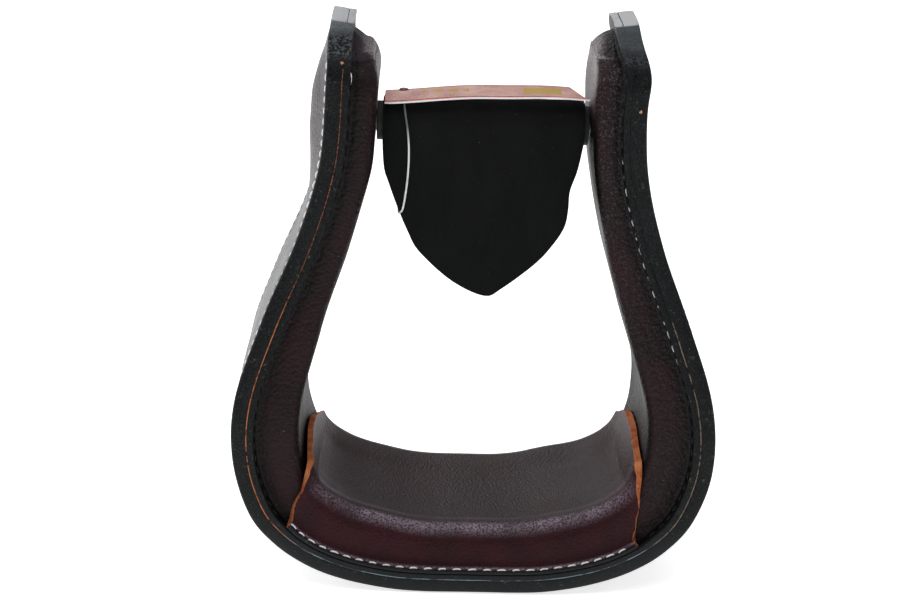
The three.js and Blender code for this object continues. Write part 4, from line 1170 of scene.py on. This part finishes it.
def make_card():
    """Thin bowed card with one slanted end and a round hole for the loop.

    Rays go from the hole to three sides and to the seam, and straight rows fill the rest.
    """
    half = CARD_LENGTH / 2
    edge = CARD_DEPTH / 2
    hole = np.array(CARD_HOLE) - np.array(CARD_PLACE)
    seam = hole[0] + CARD_SEAM
    rings, sides, rows = 8, 48, 30
    angles = 2 * math.pi * np.arange(sides) / sides
    rays = np.column_stack([np.cos(angles), np.sin(angles)])
    rays = np.where(np.abs(rays) < 1e-9, 1e-9, rays)
    limits = np.where(rays > 0, (seam, edge), (-half, -edge)) - hole
    shares = (np.arange(rings + 1) / rings) ** 1.3
    radii = mix(CARD_HOLE_RADIUS, (limits / rays).min(axis=1), shares[:, None])
    points = (hole + rays * radii[..., None]).reshape(-1, 2)
    numbers = np.arange(len(points)).reshape(rings + 1, sides)
    faces = grid_faces(numbers)
    outer = numbers[-1].tolist()
    near = [k for k in range(-sides // 2, sides // 2) if abs(points[outer[k], 0] - seam) < 1e-6]
    front = len(points)
    back = front + 1
    first, last = near[0], near[-1]
    faces += [[outer[first], front, outer[first - 1]], [outer[last + 1], back, outer[last]]]
    points = np.concatenate([points, [(seam, -edge), (seam, edge)]])
    across = [front, *(outer[k] for k in near), back]
    ys = points[across, 1]
    ends = half - CARD_SLANT * (ys + edge) / CARD_DEPTH
    strip = np.stack(np.broadcast_arrays(np.linspace(seam, ends, rows + 1)[1:], ys), axis=-1)
    numbers = np.concatenate([[across], back + 1 + np.arange(rows * len(ys)).reshape(rows, -1)])
    faces += grid_faces(numbers, wrap=(False, False))
    flat = np.concatenate([points, strip.reshape(-1, 2)])
    under = np.column_stack([flat + CARD_PLACE, card_underside_at(*flat.T) + BAR_HEIGHT])
    over = under + (0, 0, CARD_THICKNESS)
    total = len(flat)
    edges = {(a, b) for face in faces for a, b in zip(face, face[1:] + face[:1])}
    rim = [[a, b, b + total, a + total] for a, b in sorted(edges) if (b, a) not in edges]
    solid = [[v + total for v in face] for face in faces] + [face[::-1] for face in faces] + rim
    slots = [0] * len(faces) + [1] * (len(faces) + len(rim))
    piece = make_object("hang_card", np.concatenate([under, over]), solid, slots)
    piece.data.shade_flat()
    dress(piece, "flap", "card", [card_face_material(), card_edge_material()], "tag_card")


def turned(name, profile, sides, place, closed):
    """Revolves a profile of (radius, distance along the axis) points, each put in the frame by place."""
    points = []
    for angle in 2 * math.pi * np.arange(sides) / sides:
        points += [place(r * math.cos(angle), r * math.sin(angle), along) for r, along in profile]
    numbers = np.arange(len(points)).reshape(sides, -1)
    return make_object(name, points, grid_faces(numbers, wrap=(True, closed)))


def bar_part(name, profile, slot, material, node):
    """A part turned about the bar's axis, with soft edges."""
    piece = turned(name, profile, 96, lambda y, z, x: (x, y, BAR_HEIGHT + z), True)
    modifier = piece.modifiers.new("soft_edges", "BEVEL")
    modifier.width = 0.3 * MM
    modifier.segments = 3
    modifier.limit_method = "ANGLE"
    modifier.harden_normals = False
    dress(piece, "roller", slot, [material], node)


def make_bar_parts():
    ease, run = ROLLER_EASE
    inner = BAR_HALF - BUSH_FLANGE
    end = inner - LAYER_GAP
    half = [(ROLLER_RADIUS, end - run), (ROLLER_RADIUS - ease, end), (ROLLER_BORE, end)]
    profile = [(r, -x) for r, x in half[::-1]] + half
    plastic = moulded_plastic("roller_moulding", "141617", "1e2122", 0.38)
    bar_part("roller_tube", profile, "roller_plastic", plastic, "roller")
    plastic = moulded_plastic("bush_moulding", "0c0f0f", "17191a", 0.62)
    neck = ROLLER_BORE - LAYER_GAP
    outer = BAR_HALF + BUSH_REACH
    profile = [
        (BORE, inner - BUSH_SPIGOT), (neck, inner - BUSH_SPIGOT), (neck, inner), (ROLLER_RADIUS, inner),
        (ROLLER_RADIUS, outer), (BORE, outer),
    ]
    for side, sign in (("left", -1), ("right", 1)):
        turned_to = [(r, sign * x) for r, x in profile]
        bar_part(f"bush_{side}_moulding", turned_to, "bush_plastic", plastic, f"bush_{side}")


def make_lock():
    """Small moulded snap that joins the loop's ends over the card's hole."""
    x, y = CARD_HOLE
    foot = card_underside_at(x - CARD_PLACE[0], y - CARD_PLACE[1]) + CARD_THICKNESS + BAR_HEIGHT - LOCK_SINK
    piece = turned("loop_lock", LOCK_PROFILE, 40, lambda a, b, rise: (x + a, y + b, foot + rise), False)
    piece.modifiers.new("weld", "WELD").merge_threshold = 0.01 * MM
    form = piece.modifiers.new("smooth_form", "SUBSURF")
    form.levels = 1
    form.render_levels = 1
    return dress(piece, "flap", "lock_plastic", [lock_material()], "tag_lock")


def make_loop(lock):
    """Clear plastic loop through the card's hole and round the flap's left edge."""
    curve = bpy.data.curves.new("clear_loop", "CURVE")
    curve.dimensions = "3D"
    curve.bevel_depth = LOOP_DIAMETER / 2
    curve.bevel_resolution = 3
    curve.use_fill_caps = True
    curve.resolution_u = 1
    fine = spline(np.array(LOOP_POINTS) / 1000, 6)
    line = curve.splines.new("POLY")
    line.points.add(len(fine) - 1)
    bar = np.array([0, 0, BAR_HEIGHT * MM])
    for point, place in zip(line.points, fine + bar):
        point.co = (*place, 1)
    piece = add_piece("clear_loop", curve)
    dress(piece, "flap", "loop_plastic", [clear_plastic()], "tag_loop")


def paint_hidden_parts():
    """Gives the wood, screws, bolt, nut and washers their materials."""
    steel = steel_material()
    paints = {
        "wood_bow": wood_material("bow_ash", "9c7446", "c49c68"),
        "tread_block": wood_material("block_pine", "b98e5c", "d8b483"),
    }
    for name in ("bolt", "nut", "head_washer", "nut_washer", *(f"block_screw_{k}" for k in range(1, 5))):
        paints[name] = steel
    for name, material in paints.items():
        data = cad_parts[name].data
        data.materials.clear()
        data.materials.append(material)


def make_camera():
    """Camera at the photograph's place: millimetres and degrees, fitted to the object's outline."""
    azimuth, height, distance = math.radians(-2.48), 348.6, 600.0
    yaw = azimuth + math.radians(0.93)
    pitch = math.radians(21.89)
    roll = math.radians(2.06)
    focal_px, width_px, sensor = 1674.8, 900, 36.0
    place = Vector((math.sin(azimuth) * distance, -math.cos(azimuth) * distance, height)) * MM
    forward = Vector((-math.sin(yaw) * math.cos(pitch), math.cos(yaw) * math.cos(pitch), -math.sin(pitch)))
    right = forward.cross(Vector((0, 0, 1))).normalized()
    up = right.cross(forward)
    turned_right = right * math.cos(roll) + up * math.sin(roll)
    turned_up = -right * math.sin(roll) + up * math.cos(roll)
    data = bpy.data.cameras.new("camera")
    data.sensor_width = sensor
    data.lens = focal_px / width_px * sensor
    data.clip_start = 0.01
    camera = add_piece("camera", data)
    rotation = Matrix((turned_right, turned_up, -forward)).transposed()
    camera.matrix_world = Matrix.Translation(place) @ rotation.to_4x4()
    bpy.context.scene.camera = camera


def area_light(name, place, size, power):
    """A soft light that looks at the middle of the stirrup."""
    data = bpy.data.lights.new(name, "AREA")
    data.shape = "RECTANGLE"
    data.size, data.size_y = size
    data.energy = power
    lamp = add_piece(name, data)
    lamp.location = place
    lamp.rotation_euler = (Vector((0, 0, 0.1)) - Vector(place)).to_track_quat("-Z", "Y").to_euler()


def make_studio():
    """White floor and soft lights: a large one above and behind on the left, a weak one in front."""
    scene = bpy.context.scene
    scene.view_settings.view_transform = "Standard"
    world = bpy.data.worlds.new("studio")
    world.use_nodes = True
    background = world.node_tree.nodes["Background"]
    background.inputs["Color"].default_value = (0.93, 0.96, 1.0, 1)
    background.inputs["Strength"].default_value = 0.32
    scene.world = world
    area_light("back_left_box", (-0.7, 0.9, 1.1), (1.6, 1.2), 10)
    area_light("left_box", (-1.3, 0.05, 0.5), (0.9, 1.1), 6)
    area_light("right_box", (1.3, 0.3, 0.7), (0.8, 1.0), 3)
    area_light("top_box", (0, -0.1, 1.6), (1.8, 1.8), 4)
    area_light("front_top_box", (0, -0.55, 1.25), (1.0, 0.35), 5)
    shade = Shader("pale_floor", Specular_IOR_Level=0.2)
    colour = shade.noise(40, 2).tint("f7f7f7", "fbfbfb")
    shade.put(Emission_Color=colour, Emission_Strength=0.7)
    reach = 6.0
    mesh = bpy.data.meshes.new("floor")
    corners = [(-reach, -reach, 0), (reach, -reach, 0), (reach, reach, 0), (-reach, reach, 0)]
    mesh.from_pydata(corners, [], [(0, 1, 2, 3)])
    mesh.materials.append(shade.finish(colour, 0.8))
    floor = add_piece("floor", mesh)
    floor.location = (0, 0, -0.0004)


make_camera()
make_loop(make_lock())
make_outer_strap()
make_inner_cover()
make_tread_cover()
make_seams()
make_stitches()
make_bar_parts()
make_flap()
make_card()
paint_hidden_parts()
make_studio()
